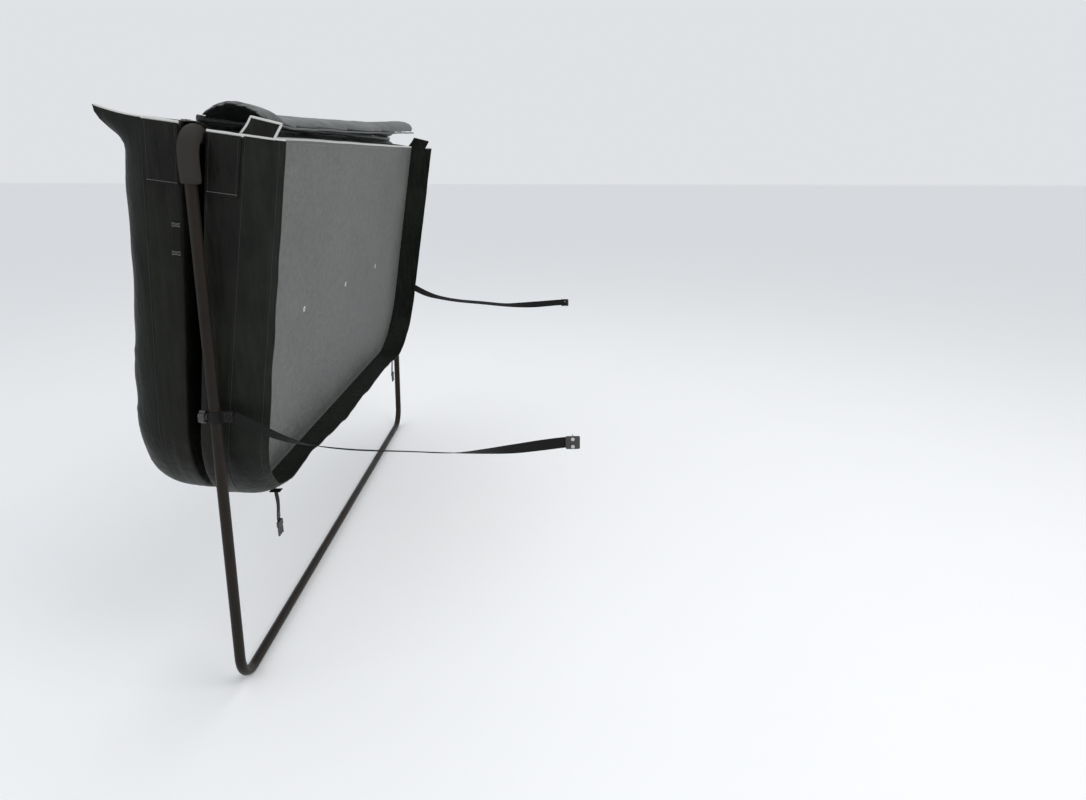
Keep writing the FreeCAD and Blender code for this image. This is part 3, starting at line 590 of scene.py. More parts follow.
def underside_cloth(half):
    """The grey cloth under a half: it bellies a little, and is held flat at seams and grommets."""
    cols, rows = 150, 76
    seed = 5.0 if half == "back" else 23.0
    grid = []
    for j in range(rows + 1):
        line = []
        for i in range(cols + 1):
            y, u = outline(-1 + 2 * i / cols, j / rows, 0.004)
            edge = min(u, HALF_LENGTH - u, HALF_WIDTH - abs(y))
            pull = 0.0024 * abs(ripple(y * 3 + u * 2, u * 4 - y, seed))
            pull += 0.0022 * max(0.0, ripple(y * 9 + u * 5, u * 3, seed))
            pull += 0.0006 * max(0.0, ripple(y * 30, u * 24, seed))
            for spot in GROMMETS:
                pull *= 1 - math.exp(-((y - spot) ** 2 + (u - HALF_LENGTH / 2 - 0.02) ** 2) / 0.0012)
            pucker = 0.0004 * math.sin(y * 210 + u * 190) * max(0.0, 1 - edge / 0.03)
            bed = along(UNDERSIDE, u) + 0.0011 + (pull * smooth(edge / 0.08) + pucker)
            line.append(on_half(half, bed, y, u))
        grid.append(line)
    obj = cloth_grid(half + "_underside", grid, 0.001)
    dressed(obj, "underside", half + "_half", [half + "_underside_panel"])
    seam = [(-1, v / 40) for v in range(41)] + [(-1 + s / 40, 1) for s in range(1, 81)]
    seam += [(1, 1 - v / 40) for v in range(1, 41)] + [(1 - s / 40, 0) for s in range(1, 81)]
    spots = [outline(s, v, 0.014) for s, v in seam]
    line = [on_half(half, along(UNDERSIDE, u) + 0.0018, y, u) for y, u in spots]
    stitched(half + "_underside_stitches", [line], half + "_half")
    return obj


def rim_walk(step):
    """Stations down the near side, round the outer edge and up the far side: (y, u, ny, nu, a)."""
    straight = HALF_LENGTH - CORNER
    arc = CORNER * math.pi / 2
    flat = HALF_WIDTH - CORNER
    total = 2 * (straight + arc + flat)
    count = round(total / step)
    spots = []
    for i in range(count + 1):
        a = total * i / count
        side, b = (-1.0, a) if a <= total / 2 else (1.0, total - a)
        if b <= straight:
            y, u, ny, nu = HALF_WIDTH, b, 1.0, 0.0
        elif b <= straight + arc:
            t = (b - straight) / CORNER
            y, u = flat + CORNER * math.cos(t), straight + CORNER * math.sin(t)
            ny, nu = math.cos(t), math.sin(t)
        else:
            y, u, ny, nu = flat - (b - straight - arc), HALF_LENGTH, 0.0, 1.0
        spots.append((side * y, u, side * ny, nu, a))
    return spots, total


def skirt_curl(half, share, u):
    """How far the skirt rolls inwards by its hem, in radians, by its place along the rim."""
    sizes = bpy.context.scene.spa_cover_sizes
    near = sizes.near_curl * (1.45 if half == "front" else 1.0)
    if share < 0.3:
        fall = smooth(u / 0.8)
        return near * (1 - 0.35 * fall)
    if share < 0.62:
        return 0.62 * near + (0.45 - 0.62 * near) * smooth((share - 0.3) / 0.2)
    return 0.45 - 0.38 * smooth((share - 0.62) / 0.15)


# creases in the front skirt: (metres along the rim, depth at the hem)
FOLD_MARKS = [(0.575, 0.0042), (0.59, 0.0024), (0.742, 0.0038)]


def skirt(half):
    """The skirt hangs off the underside's rim, rolls in towards its hem and waves a little."""
    sizes = bpy.context.scene.spa_cover_sizes
    spots, total = rim_walk(0.014)
    seed = 2.0 if half == "back" else 31.0
    steps = 12
    grid = []
    for y, u, ny, nu, a in spots:
        share = a / total
        curl = skirt_curl(half, share, u)
        wave = 0.35 * ripple(a * 3.1, seed) + 0.2 * ripple(a * 9.0, seed + 4)
        curl += wave
        tip = 0.0
        if half == "front" and share < 0.3:
            tip = smooth(1 - u / 0.085)
            curl = curl * (1 - tip) - 0.25 * tip
        if half == "front" and share > 0.7:
            flat = smooth((0.12 - u) / 0.06)
            curl = curl * (1 - flat) - 0.05 * flat
        if half == "back" and share > 0.7:
            tip = 0.5 * smooth(1 - u / 0.07)
            curl -= 0.35 * tip
        x = along(UNDERSIDE, u) - 0.0018
        inward, rise = 0.0006, 0.0
        column = []
        for k in range(steps + 1):
            f = k / steps
            crease = sizes.crease * 0.7 * f * (ripple(a * 14, f * 2, seed) + 0.6 * ripple(a * 40, f * 4))
            if half == "front":
                for spot, length in FOLD_MARKS:
                    crease += length * f * math.exp(-((a - spot - 0.016 * f) / 0.005) ** 2)
            column.append(on_half(half, x, y + ny * (crease - inward), u + nu * (crease - inward)
                                  - rise))
            lean = curl * (0.15 + 0.85 * f) * f ** 0.35
            x += (SKIRT_DEPTH + 0.0026) / steps * math.cos(lean)
            inward += SKIRT_DEPTH / steps * math.sin(lean)
            rise += tip * 0.0022 * f
        grid.append(column)
    obj = cloth_grid(half + "_skirt_cloth", grid, 0.002)
    dressed(obj, "vinyl", half + "_half", [half + "_skirt"], "skirt_vinyl")
    hem_line = [column[-1] for column in grid]
    hem_up = [(column[-1] - column[-2]).normalized() for column in grid]
    hem = swept(half + "_hem", hem_line, hem_up, oval(0.0042, 0.007, 8))
    dressed(hem, "vinyl", half + "_half", [half + "_skirt_hem"], "skirt_vinyl")
    # Pale strips in the binding finish along the top end of each skirt: painted highlight on those
    # edges.
    for end, column in (("near", grid[0]), ("far", grid[-1])):
        tape = swept(f"{half}_{end}_skirt_end", column, Vector((0, 1, 0)), oval(0.005, 0.0052, 8))
        dressed(tape, "binding", half + "_half")
    seam = [c[0].lerp(c[1], 0.6) + Vector((0, s[2], 0)) * 0.0012 for c, s in zip(grid, spots)]
    row = [c[-3] + Vector((0, s[2], 0)) * 0.0012 for c, s in zip(grid, spots)]
    stitched(half + "_skirt_stitches", [seam, row], half + "_half", "dark_thread")
    return obj


def edge_highlight_strip(half):
    """A pale strip bent over the hinge edge's outer corner and across both ends: painted highlight along
    the top edges of the hung halves.
    """
    x0, x1, y = TOP_FACE[0] + 0.003, UNDERSIDE[0], HALF_WIDTH + 0.0008
    corner = 0.006
    path = [(x0 + (x1 - corner - x0) * i / 8, -y) for i in range(9)]
    path += [(x1 - corner + corner * math.sin(t), -y + corner - corner * math.cos(t))
             for t in (0.5, 1.05)]
    path += [(x1, -y + corner + (2 * y - 2 * corner) * i / 90) for i in range(91)]
    path += [(x1 - corner + corner * math.cos(t), y - corner + corner * math.sin(t))
             for t in (0.5, 1.05)]
    path += [(x1 - corner - (x1 - corner - x0) * i / 8, y) for i in range(9)]
    line = []
    for x, yy in path:
        sag = 0.0012 * ripple(x * 30, yy * 6, SIDE[half])
        line.append(on_half(half, x, yy, 0.0015 + sag))
    up = (hung(0, 0, 1) - hung(0, 0, 0)).normalized()
    # The strip takes the pale binding finish: painted highlight along the hinge edge.
    tape = swept(half + "_edge_highlight_strip", line, up, oval(0.0062, 0.0085, 10))
    return dressed(tape, "binding", half + "_half")


def end_patch(half):
    """Doubled vinyl sewn over each end beside the hinge; the lower row of stitches is pale thread, a
    painted highlight along each patch's lower edge.
    """
    made, sides, lower = [], [], []
    for end, sign in ENDS:
        grid = []
        for i in range(25):
            u = 0.004 + 0.146 * i / 24
            row = []
            for j in range(15):
                f = j / 14
                x = along(TOP_FACE, u) + 0.004 + (along(UNDERSIDE, u) - along(TOP_FACE, u) - 0.008) * f
                puff = 0.0014 * math.sin(math.pi * f) * math.sin(math.pi * i / 24)
                puff += 0.0008 * ripple(x * 50, u * 20, sign)
                row.append(on_half(half, x, sign * (HALF_WIDTH + 0.0052 + puff), u))
            grid.append(row)
        made.append(cloth_grid(f"{half}_patch_{end}", grid, 0.001))
        lift = Vector((0, sign * 0.0008, 0))
        sides += [[grid[i][j] + lift for i in range(1, 24)] for j in (1, 13)]
        # The lower row is sewn in pale thread below: painted highlight on the patch's lower edge.
        lower.append([p + lift for p in grid[23][1:14]])
        rail = [p + Vector((0, sign * 0.0004, 0)) for p in grid[24]]
        made.append(swept(f"{half}_patch_edge_{end}", rail, Vector((0, 1, 0)), oval(0.004, 0.002, 6)))
    obj = joined(half + "_end_patch", made)
    dressed(obj, "vinyl", half + "_half", [half + "_end_patches"])
    stitched(half + "_patch_side_stitches", sides, half + "_half", "dark_thread")
    # Pale thread on the lower edge only, dark on the sides: painted highlight along the lower edge.
    stitched(half + "_patch_highlight_stitches", lower, half + "_half")
    return obj


# ---- hinge ----
# the hinge vinyl's section: (out, up) in metres from the bar's axis
STRIP_LINE = [(-0.062, 0.0236), (-0.03, 0.0236), (-0.02, 0.0248), (-0.009, 0.0264), (0.0, 0.0266),
              (0.009, 0.025), (0.018, 0.0205), (0.0255, 0.0155), (0.03, 0.0136), (0.062, 0.0136)]


def hinge_strip():
    """The vinyl that joins the halves: flat on each hinge edge, humped over the bar's sleeve."""
    points = [Vector((x, 0, z)) for x, z in STRIP_LINE]
    grid = []
    for i in range(141):
        y = -1.05 + 2.1 * i / 140
        row = []
        for j in range(46):
            p = spread(points, j / 45)
            lift = 0.0006 * (ripple(y * 12, p.x * 40) + 0.5)
            row.append(hung(p.x, y, p.z + lift))
        grid.append(row)
    obj = cloth_grid("hinge_vinyl", grid, 0.0016)
    dressed(obj, "vinyl", None, ["hinge_strip"])
    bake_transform(obj)
    for half, x, z in (("back", 0.055, 0.0146), ("front", -0.055, 0.0246)):
        lines = [[hung(x + d, -1.045 + 2.09 * i / 60, z) for i in range(61)] for d in (0.0, 0.004)]
        stitched(half + "_hinge_stitches", lines, half + "_half", "dark_thread")
    return obj


# the seal's section at each end: across in cover thicknesses, up in parts of its rise
SEAL_NEAR = [(-0.30, 0.0), (-0.08, 0.37), (0.21, 0.72), (0.53, 0.84), (0.89, 0.78), (1.25, 0.53),
             (1.47, 0.12)]
SEAL_FAR = [(-0.24, 0.0), (-0.03, 0.65), (0.24, 1.43), (0.55, 1.92), (0.80, 1.88), (1.04, 1.47),
            (1.09, 0.98)]
SEAL_FOOT = 0.0376
SEAL_RISE = 0.05
# how much of that rise the arch has, by its share of the way from the near end
SEAL_LIFT = [(0.0, 1.08), (0.045, 0.95), (0.1, 0.45), (0.42, 0.56), (1.0, 0.88)]


def seal_spot(f, y):
    """The middle of the seal's section at f across and y along the hinge."""
    share = min(1.0, max(0.0, (y + 1.05) / 2.1))
    for (a0, b0), (a1, b1) in zip(SEAL_LIFT, SEAL_LIFT[1:]):
        if share <= a1:
            lift = b0 + (b1 - b0) * smooth((share - a0) / (a1 - a0))
            break
    a = spread([Vector((x, 0, z)) for x, z in SEAL_NEAR], f)
    b = spread([Vector((x, 0, z)) for x, z in SEAL_FAR], f)
    p = a.lerp(b, share)
    thick = UNDERSIDE[0] - TOP_FACE[0]
    return TOP_FACE[0] + p.x * thick, SEAL_FOOT + p.z * SEAL_RISE * lift


def puffed(obj, pressure, limit, voxel):
    """Fills a closed pad: remesh, a short cloth run under pressure, moves held within a limit."""
    mod = obj.modifiers.new("even", "REMESH")
    mod.mode = "VOXEL"
    mod.voxel_size = voxel
    graph = bpy.context.evaluated_depsgraph_get()
    mesh = bpy.data.meshes.new_from_object(obj.evaluated_get(graph))
    obj.modifiers.clear()
    obj.data = mesh
    start = [v.co.copy() for v in mesh.vertices]
    cloth = obj.modifiers.new("fill", "CLOTH")
    cloth.settings.quality = 4
    cloth.settings.mass = 0.3
    cloth.settings.tension_stiffness = 18
    cloth.settings.bending_stiffness = 0.6
    cloth.settings.use_pressure = True
    cloth.settings.uniform_pressure_force = pressure
    cloth.settings.effector_weights.gravity = 0.0
    cloth.point_cache.frame_start = 1
    cloth.point_cache.frame_end = 20
    scene = bpy.context.scene
    for f in range(1, 21):
        scene.frame_set(f)
    graph = bpy.context.evaluated_depsgraph_get()
    filled = bpy.data.meshes.new_from_object(obj.evaluated_get(graph))
    obj.modifiers.clear()
    obj.data = filled
    for v, was in zip(filled.vertices, start):
        move = v.co - was
        if move.length > limit:
            v.co = was + move * (limit / move.length)
    scene.frame_set(1)
    filled.shade_smooth()
    return obj


def hinge_seal():
    """The padded flap over the hinge edge: a soft arch that grows taller to the far end. Its vinyl is
    the cover's black vinyl made lighter, a painted highlight on the seal.
    """
    sizes = bpy.context.scene.spa_cover_sizes
    rows, cols = 176, 34
    grid = []
    for i in range(rows + 1):
        y = -1.048 + 2.096 * i / rows
        row = []
        for j in range(cols + 1):
            x, z = seal_spot(j / cols, y)
            slack = 0.004 * ripple(y * 3, j * 0.08) + 0.0016 * ripple(y * 11, j * 0.25)
            row.append(hung(x + slack * 0.3, y, z + slack))
        grid.append(row)

    def plump(i, j):
        f = 2 * j / cols - 1
        g = 2 * i / rows - 1
        return max(0.0016, sizes.seal_fullness * (1 - f ** 4) ** 0.5 * (1 - g ** 16) ** 0.5)

    obj = cloth_grid("hinge_seal_pad", grid, plump)
    puffed(obj, 4.0, 0.0035, 0.006)
    # The pad and its welts take the lightened vinyl: painted highlight on the hinge seal.
    dressed(obj, "vinyl", "back_half", ["hinge_seal"], "seal_vinyl_painted_highlight")
    up = (hung(0, 0, 1) - hung(0, 0, 0)).normalized()
    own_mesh(obj)
    for side, j, drop, tall in (("front", 0, 0.003, 0.017), ("back", cols, 0.0, 0.006)):
        line = [grid[i][j] - up * drop for i in range(rows + 1)]
        welt = swept(f"seal_{side}_welt", line, up, oval(0.007, tall, 8))
        dressed(welt, "vinyl", "back_half", (), "seal_vinyl_painted_highlight")
        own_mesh(welt)
    return obj


def gap_flaps():
    """Tabs that stand on the hinge edge at each end, over the gap between the skirts, each with a rim
    strip: pale at the near end as painted highlight, the skirt's dark vinyl at the far end.
    """
    corners = [(0.106, 0.0126), (0.186, 0.0126), (0.203, 0.05), (0.131, 0.057)]
    for end, sign in ENDS:
        a, b, c, d = (Vector(p) for p in corners)
        grid = []
        for i in range(13):
            row = []
            for j in range(17):
                low, high = a.lerp(b, j / 16), d.lerp(c, j / 16)
                p = low.lerp(high, i / 12)
                p.x += 0.0025 * (1 - j / 16) * math.sin(math.pi * i / 12)
                bow = 0.003 * math.sin(math.pi * j / 16) * (i / 12)
                row.append(hung(p.x, sign * (1.059 + bow), p.y))
            grid.append(row)
        obj = cloth_grid(end + "_gap_flap", grid, 0.0026)
        rim = grid[0] + [r[-1] for r in grid[1:]] + grid[-1][-2::-1] + [r[0] for r in grid[-2:0:-1]]
        dressed(obj, "vinyl", "back_half", ["back_gap_flaps"] if sign < 0 else ())
        # The near rim is pale: painted highlight round the near flap's edges; the far rim is dark skirt
        # vinyl.
        tape = swept(end + "_flap_rim", rim, Vector((0, 1, 0)), oval(0.0062, 0.0052, 8), True)
        dressed(tape, "binding", "back_half", (), "binding" if sign < 0 else "skirt_vinyl")


# ---- lifter ----
def sleeve_tube(name, line, ups, body_nodes):
    """Foam pushed over the tube: a little lumpy, its cut ends rounded in."""
    sizes = bpy.context.scene.spa_cover_sizes
    sides = 36
    verts, faces, uvs = [], [], []
    count = len(line)
    run = 0.0
    for i, p in enumerate(line):
        tangent = (line[min(i + 1, count - 1)] - line[max(i - 1, 0)]).normalized()
        over = tangent.cross(ups[i]).normalized()
        rise = over.cross(tangent)
        run += (p - line[i - 1]).length if i else 0.0
        end = min(i, count - 1 - i)
        shrink = (0.0095, 0.0035, 0.001)[end] if end < 3 else 0.0
        for k in range(sides):
            t = 2 * math.pi * k / sides
            dent = sizes.sleeve_dents * (ripple(run * 16 + t, math.cos(t) * 2, p.y * 3) - 0.25)
            slit = 0.0012 * math.exp(-((t - math.pi * 1.25) * 14) ** 2)
            r = SLEEVE_RADIUS - shrink + min(0.0, dent) - slit
            verts.append(p + over * (r * math.cos(t)) + rise * (r * math.sin(t)))
            uvs.append((t * SLEEVE_RADIUS, run))
    for i in range(count - 1):
        for k in range(sides):
            n = (k + 1) % sides
            faces.append((i * sides + k, i * sides + n, (i + 1) * sides + n, (i + 1) * sides + k))
    faces += [tuple(range(sides)), tuple(range((count - 1) * sides, count * sides))]
    obj = outward(piece(name, verts, faces, uvs, 60))
    return dressed(obj, "sleeve_foam", "frame", body_nodes)


def sleeves():
    """Three sleeves: one along the bar and one round each bend and down its post."""
    for end, sign in ENDS:
        line, ups = [], []

        def add(y, z, uy, uz):
            line.append(on_lifter(0, sign * y, z))
            ups.append(on_lifter(0, sign * uy, uz) - on_lifter(0, 0, 0))

        start = POST_Y - TOP_BEND
        ends = [0.0, 0.0012, 0.004]
        for d in ends + [0.012 + (start - SLEEVE_SPLIT - 0.012) * i / 26 for i in range(27)]:
            add(SLEEVE_SPLIT + 0.0006 + d, FRAME_HEIGHT, 0, 1)
        for i in range(1, 12):
            t = i / 12 * math.pi / 2
            add(start + TOP_BEND * math.sin(t), FRAME_HEIGHT - TOP_BEND + TOP_BEND * math.cos(t),
                math.sin(t), math.cos(t))
        low = FRAME_HEIGHT - SLEEVE_DROP
        for i in range(12):
            add(POST_Y, FRAME_HEIGHT - TOP_BEND - (FRAME_HEIGHT - TOP_BEND - low - 0.012) * i / 11, 1, 0)
        for d in reversed(ends):
            add(POST_Y, low + d, 1, 0)
        sleeve_tube(end + "_bend_sleeve", line, ups, [end + "_foam_sleeve"])
    reach = SLEEVE_SPLIT - 0.0008
    ys = [-reach, -reach + 0.0012, -reach + 0.004]
    ys += [-reach + 0.012 + (2 * reach - 0.024) * i / 80 for i in range(81)]
    ys += [reach - 0.004, reach - 0.0012, reach]
    line = [on_lifter(0, y, FRAME_HEIGHT) for y in ys]
    up = on_lifter(0, 0, 1) - on_lifter(0, 0, 0)
    sleeve_tube("bar_sleeve", line, [up] * len(line), ["mid_foam_sleeve"])


# ---- straps ----
def box_stitch(centre, along_dir, across_dir, out, long, wide):
    """A sewn box with a cross in it."""
    a, b = along_dir * (long / 2), across_dir * (wide / 2)
    p = [centre + out + a * i + b * j for i, j in ((-1, -1), (1, -1), (1, 1), (-1, 1))]
    return [[p[0], p[1], p[2], p[3], p[0]], [p[0], p[2]], [p[1], p[3]]]


def stop_straps():
    """Webbing from post to anchor that sags and twists; a station is (share of the way, z, twist)."""
    start = on_lifter(0.0466, -POST_Y, KNOB_HEIGHT)
    end_x = ANCHOR.x - 0.022
    wall = abs(ANCHOR.y) + 0.0023
    stations = [
        (0.0, start.z, 0), (0.06, start.z - 0.03, 15), (0.14, start.z - 0.066, 40),
        (0.22, start.z - 0.088, 65), (0.34, start.z - 0.106, 72), (0.50, start.z - 0.118, 70),
        (0.64, ANCHOR.z - 0.016, 68), (0.74, ANCHOR.z - 0.016, 45), (0.84, ANCHOR.z - 0.012, 15),
        (0.93, ANCHOR.z - 0.005, 0), (1.0, ANCHOR.z, 0), (1.04, ANCHOR.z, 0)]
    knots = [Vector((s, z, twist)) for s, z, twist in stations]
    for end, sign in ENDS:
        line, ups = [], []
        for i in range(133):
            share, z, twist = spread(knots, i / 132)
            x = start.x + share * (end_x - start.x)
            y = POST_Y + (wall - POST_Y) * min(1.0, share)
            turn = math.radians(twist)
            line.append(Vector((x, sign * y, z)))
            ups.append(Vector((0, -sign * math.cos(turn), math.sin(turn))).normalized())
        obj = swept(end + "_strap_webbing", line, ups, band(STRAP_WIDTH, 0.002))
        dressed(obj, "webbing", None, [end + "_stop_strap"])
        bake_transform(obj)


def strap_loops():
    """The strap's end goes round the post and is sewn back on itself."""
    for end, sign in ENDS:
        radius = TUBE_RADIUS + 0.0015
        line = [(0.046 - 0.0085 * i, 0.0012 + 0.0002 * i) for i in range(5)]
        turns = [math.radians(38 + (322 - 38) * i / 24) for i in range(25)]
        line += [(radius * math.cos(t), radius * math.sin(t)) for t in turns]
        line += [(0.012 + 0.0085 * i, -0.0012 - 0.0002 * (4 - i)) for i in range(5)]
        path = [on_lifter(x, sign * POST_Y + y, KNOB_HEIGHT) for x, y in line]
        up = on_lifter(0, 0, 1) - on_lifter(0, 0, 0)
        turned = [(b, a) for a, b in band(STRAP_WIDTH, 0.002)]
        obj = swept(end + "_post_loop", path, up, turned)
        dressed(obj, "webbing", "frame", [end + "_strap_loop"])
        centre = on_lifter(0.034, sign * POST_Y, KNOB_HEIGHT)
        lines = []
        for out in (-0.0026, 0.0026):
            lines += box_stitch(centre, Vector((1, 0, 0)), up, Vector((0, out, 0)), 0.018, 0.022)
        stitched(end + "_loop_stitches", lines, "frame", "dark_thread", FINE_PITCH)


def tie_straps():
    """The hanging tie straps, and the tabs that sew them to the back half's lower skirt."""
    lo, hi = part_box("near_tie_strap")
    x = (lo.x + hi.x) / 2
    for end, sign in ENDS:
        y = sign * TIE_PLACE
        line = []
        for i in range(25):
            f = i / 24
            line.append(Vector((x + 0.0018 * math.sin(f * 5), y + 0.001 * math.sin(f * 4),
                                hi.z + (lo.z - hi.z) * f)))
        line[0].z += 0.009
        obj = swept(end + "_tie_webbing", line, Vector((1, 0, 0)), band(0.025, 0.0016))
        dressed(obj, "webbing", end + "_tie", [end + "_tie_strap"])
        lines = []
        for out in (-0.00128, 0.00128):
            lines += box_stitch(Vector((x, y, lo.z + 0.021)), Vector((0, 0, 1)), Vector((0, 1, 0)),
                                Vector((out, 0, 0)), 0.016, 0.018)
        stitched(end + "_tie_stitches", lines, end + "_tie", pitch=FINE_PITCH)
    down = on_half("back", 0, 0, 1) - on_half("back", 0, 0, 0)
    across = on_half("back", 1, 0, 0) - on_half("back", 0, 0, 0)
    tabs, lines = [], []
    for end, sign in ENDS:
        grid = []
        for i in range(13):
            f = i / 12
            x = UNDERSIDE[1] + 0.042 + 0.032 * f
            u = HALF_LENGTH - 0.001 - 0.0035 * f + 0.0007 * math.sin(math.pi * f)
            grid.append([on_half("back", x, sign * TIE_PLACE + 0.0125 * (j / 4 - 1), u)
                         for j in range(9)])
        tabs.append(cloth_grid(end + "_tie_tab", grid, 0.0018))
        lines += box_stitch(grid[6][4], across, Vector((0, 1, 0)), down * 0.0013, 0.024, 0.018)
    obj = joined("tie_tabs", tabs)
    dressed(obj, "webbing", "back_half", ["back_tie_tabs"])
    stitched("tie_tab_stitches", lines, "back_half", pitch=FINE_PITCH)


def pull_tabs():
    """Folded webbing tabs on the front half's ends, sewn at top and bottom."""
    across = on_half("front", 1, 0, 0) - on_half("front", 0, 0, 0)
    top, low = 0.238, 0.322
    x = along(TOP_FACE, top) + 0.013
    tabs, lines = [], []
    for end, sign in ENDS:
        loop = []
        for i in range(13):
            f = i / 12
            y = HALF_WIDTH + 0.0029 + 0.0007 * math.sin(math.pi * f)
            loop.append(on_half("front", x, sign * y, top + (low - top) * f))
        tabs.append(swept(end + "_pull_tab", loop, Vector((0, 1, 0)), band(0.023, 0.003)))
        down = (loop[-1] - loop[0]).normalized()
        for place in (loop[1], loop[-2]):
            lines += box_stitch(place, down, across, Vector((0, sign * 0.0024, 0)), 0.008, 0.018)
    obj = joined("pull_tab_pair", tabs)
    dressed(obj, "webbing", "front_half", ["front_pull_tabs"])
    stitched("pull_tab_stitches", lines, "front_half", pitch=FINE_PITCH)


def zips():
    """A zip tape with its closed coil along each half's hinge edge."""
    sizes = bpy.context.scene.spa_cover_sizes
    for half, middle in (("back", 0.098), ("front", 0.076)):
        z = EDGE[half] + 0.0003
        grid = []
        for i in range(97):
            y = -0.962 + 1.924 * i / 96
            grid.append([hung(SIDE[half] * (middle - 0.01 + 0.02 * j / 6), y,
                              z + 0.0006 + 0.00015 * ripple(y * 30, j)) for j in range(7)])
        obj = cloth_grid(half + "_zip_cloth", grid, 0.0008)
        dressed(obj, "zip", half + "_half", [half + "_zip_tape"])
        line = [hung(SIDE[half] * middle, y, z + 0.0022) for y in (-0.958, 0.958)]
        repeated(half + "_zip_coil", runs(half + "_zip", [line]), "coil",
                 {"Pitch": sizes.zip_pitch, "Width": 0.0026}, "zip", half + "_half")


def rivet_heads():
    """Heads on the rivets clear of the foam: two on the ground bar and one on each post."""
    origin = on_lifter(0, 0, 0)
    post_rivet, bar_rivet = 0.71, 0.06
    spots = []
    for _, sign in ENDS:
        spots += [((0, sign * bar_rivet, TUBE_RADIUS), (0, 0, 1)),
                  ((TUBE_RADIUS, sign * POST_Y, post_rivet), (1, 0, 0))]
    mesh = bpy.data.meshes.new("rivet_spots")
    mesh.from_pydata([on_lifter(*place) for place, _ in spots], [], [])
    outwards = mesh.attributes.new("outward", "FLOAT_VECTOR", "POINT")
    for row, (_, way) in zip(outwards.data, spots):
        row.vector = on_lifter(*way) - origin
    source = bpy.data.objects.new("rivet_spots", mesh)
    bpy.context.scene.collection.objects.link(source)
    repeated("rivet_heads", source, "rivet", {"Radius": 0.0042}, "tube", "frame")


def dress_model():
    """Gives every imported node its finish."""
    for name, obj in frame["nodes"].items():
        obj.data.materials.clear()
        obj.data.materials.append(MATERIALS[SLOT_OF[name]])


# ---- stage ----
def look(position, yaw, pitch, roll):
    """A camera's world matrix, from angles in degrees; yaw turns from +Y towards +X."""
    yaw, pitch, roll = (math.radians(v) for v in (yaw, pitch, roll))
    ahead = Vector((math.sin(yaw) * math.cos(pitch), math.cos(yaw) * math.cos(pitch),
                    -math.sin(pitch)))
    right = Vector((math.cos(yaw), -math.sin(yaw), 0))
    up = right.cross(ahead)
    across = right * math.cos(roll) + up * math.sin(roll)
    rise = up * math.cos(roll) - right * math.sin(roll)
    turn = Matrix((across, rise, -ahead)).transposed()
    return Matrix.Translation(position) @ turn.to_4x4()


def lamp(name, place, aim, size, power, colour=(1, 1, 1)):
    """A soft rectangular lamp at a place, turned to a point."""
    data = bpy.data.lights.new(name, "AREA")
    data.shape = "RECTANGLE"
    data.size, data.size_y = size
    data.energy = power
    data.color = colour
    obj = bpy.data.objects.new(name, data)
    obj.location = place
    obj.rotation_euler = (Vector(aim) - Vector(place)).to_track_quat("-Z", "Y").to_euler()
    bpy.context.scene.collection.objects.link(obj)


def make_stage():
    """The camera, the pale floor, the even sky and three soft lamps."""
    scene = bpy.context.scene
    data = bpy.data.cameras.new("view")
    data.sensor_width = 36.0
    data.lens = 24.53
    data.shift_x, data.shift_y = -0.0571, -0.0341
    camera = bpy.data.objects.new("view", data)
    camera.matrix_world = look(Vector((0.9247, -2.9755, 1.4836)), 3.68, 15.53, 0.27)
    scene.collection.objects.link(camera)
    scene.camera = camera
    reach = 40.0  # metres of floor each way
    floor = piece("floor", [(-reach, -reach, 0), (reach, -reach, 0), (reach, reach, 0),
                            (-reach, reach, 0)], [(0, 1, 2, 3)])
    floor.data.materials.append(MATERIALS["floor"])
    world = bpy.data.worlds.new("studio")
    world.use_nodes = True
    world.node_tree.nodes["Background"].inputs["Color"].default_value = (0.87, 0.89, 0.92, 1)
    world.node_tree.nodes["Background"].inputs["Strength"].default_value = 0.85
    scene.world = world
    scene.view_settings.view_transform = "Standard"
    lamp("key", (3.2, -2.2, 4.2), (0.1, 0, 1.0), (2.4, 2.4), 60.0, (1.0, 0.98, 0.95))
    lamp("fill", (-3.0, -3.4, 2.6), (0, -0.3, 1.0), (3.0, 3.0), 25.0, (0.93, 0.96, 1.0))
    lamp("top", (0.3, 1.0, 4.4), (0.1, 0, 1.2), (3.0, 3.0), 34.0)


# ---- add-on ----
class SpaCoverSizes(bpy.types.PropertyGroup):
    stitch_pitch: bpy.props.FloatProperty(
        name="Stitch pitch", description="From one stitch to the next", default=0.006, unit="LENGTH")
    stitch_share: bpy.props.FloatProperty(
        name="Stitch share", description="How much of the pitch one stitch covers", default=0.68,
        subtype="FACTOR", min=0.0, max=1.0)
    thread_radius: bpy.props.FloatProperty(
        name="Thread radius", description="Radius of the sewing thread", default=0.0005,
        unit="LENGTH", precision=5)
    near_curl: bpy.props.FloatProperty(
        name="Near skirt curl", description="How far the near skirts roll in at their hem",
        default=math.radians(76), subtype="ANGLE")
    crease: bpy.props.FloatProperty(
        name="Crease depth", description="Depth of the creases in the vinyl", default=0.003,
        unit="LENGTH", precision=5)
    seal_fullness: bpy.props.FloatProperty(
        name="Seal thickness", description="Thickness of the padded hinge seal", default=0.011,
        unit="LENGTH")
    sleeve_dents: bpy.props.FloatProperty(
        name="Sleeve dents", description="Depth of the dents in the foam sleeves", default=0.0016,
        unit="LENGTH", precision=5)
    zip_pitch: bpy.props.FloatProperty(
        name="Zip pitch", description="From one turn of the zip coil to the next", default=0.0026,
        unit="LENGTH", precision=5)


def colour_prop(title, text, value):
    return bpy.props.FloatVectorProperty(
        name=title, description=text, default=value, size=3, min=0.0, max=1.0, subtype="COLOR")


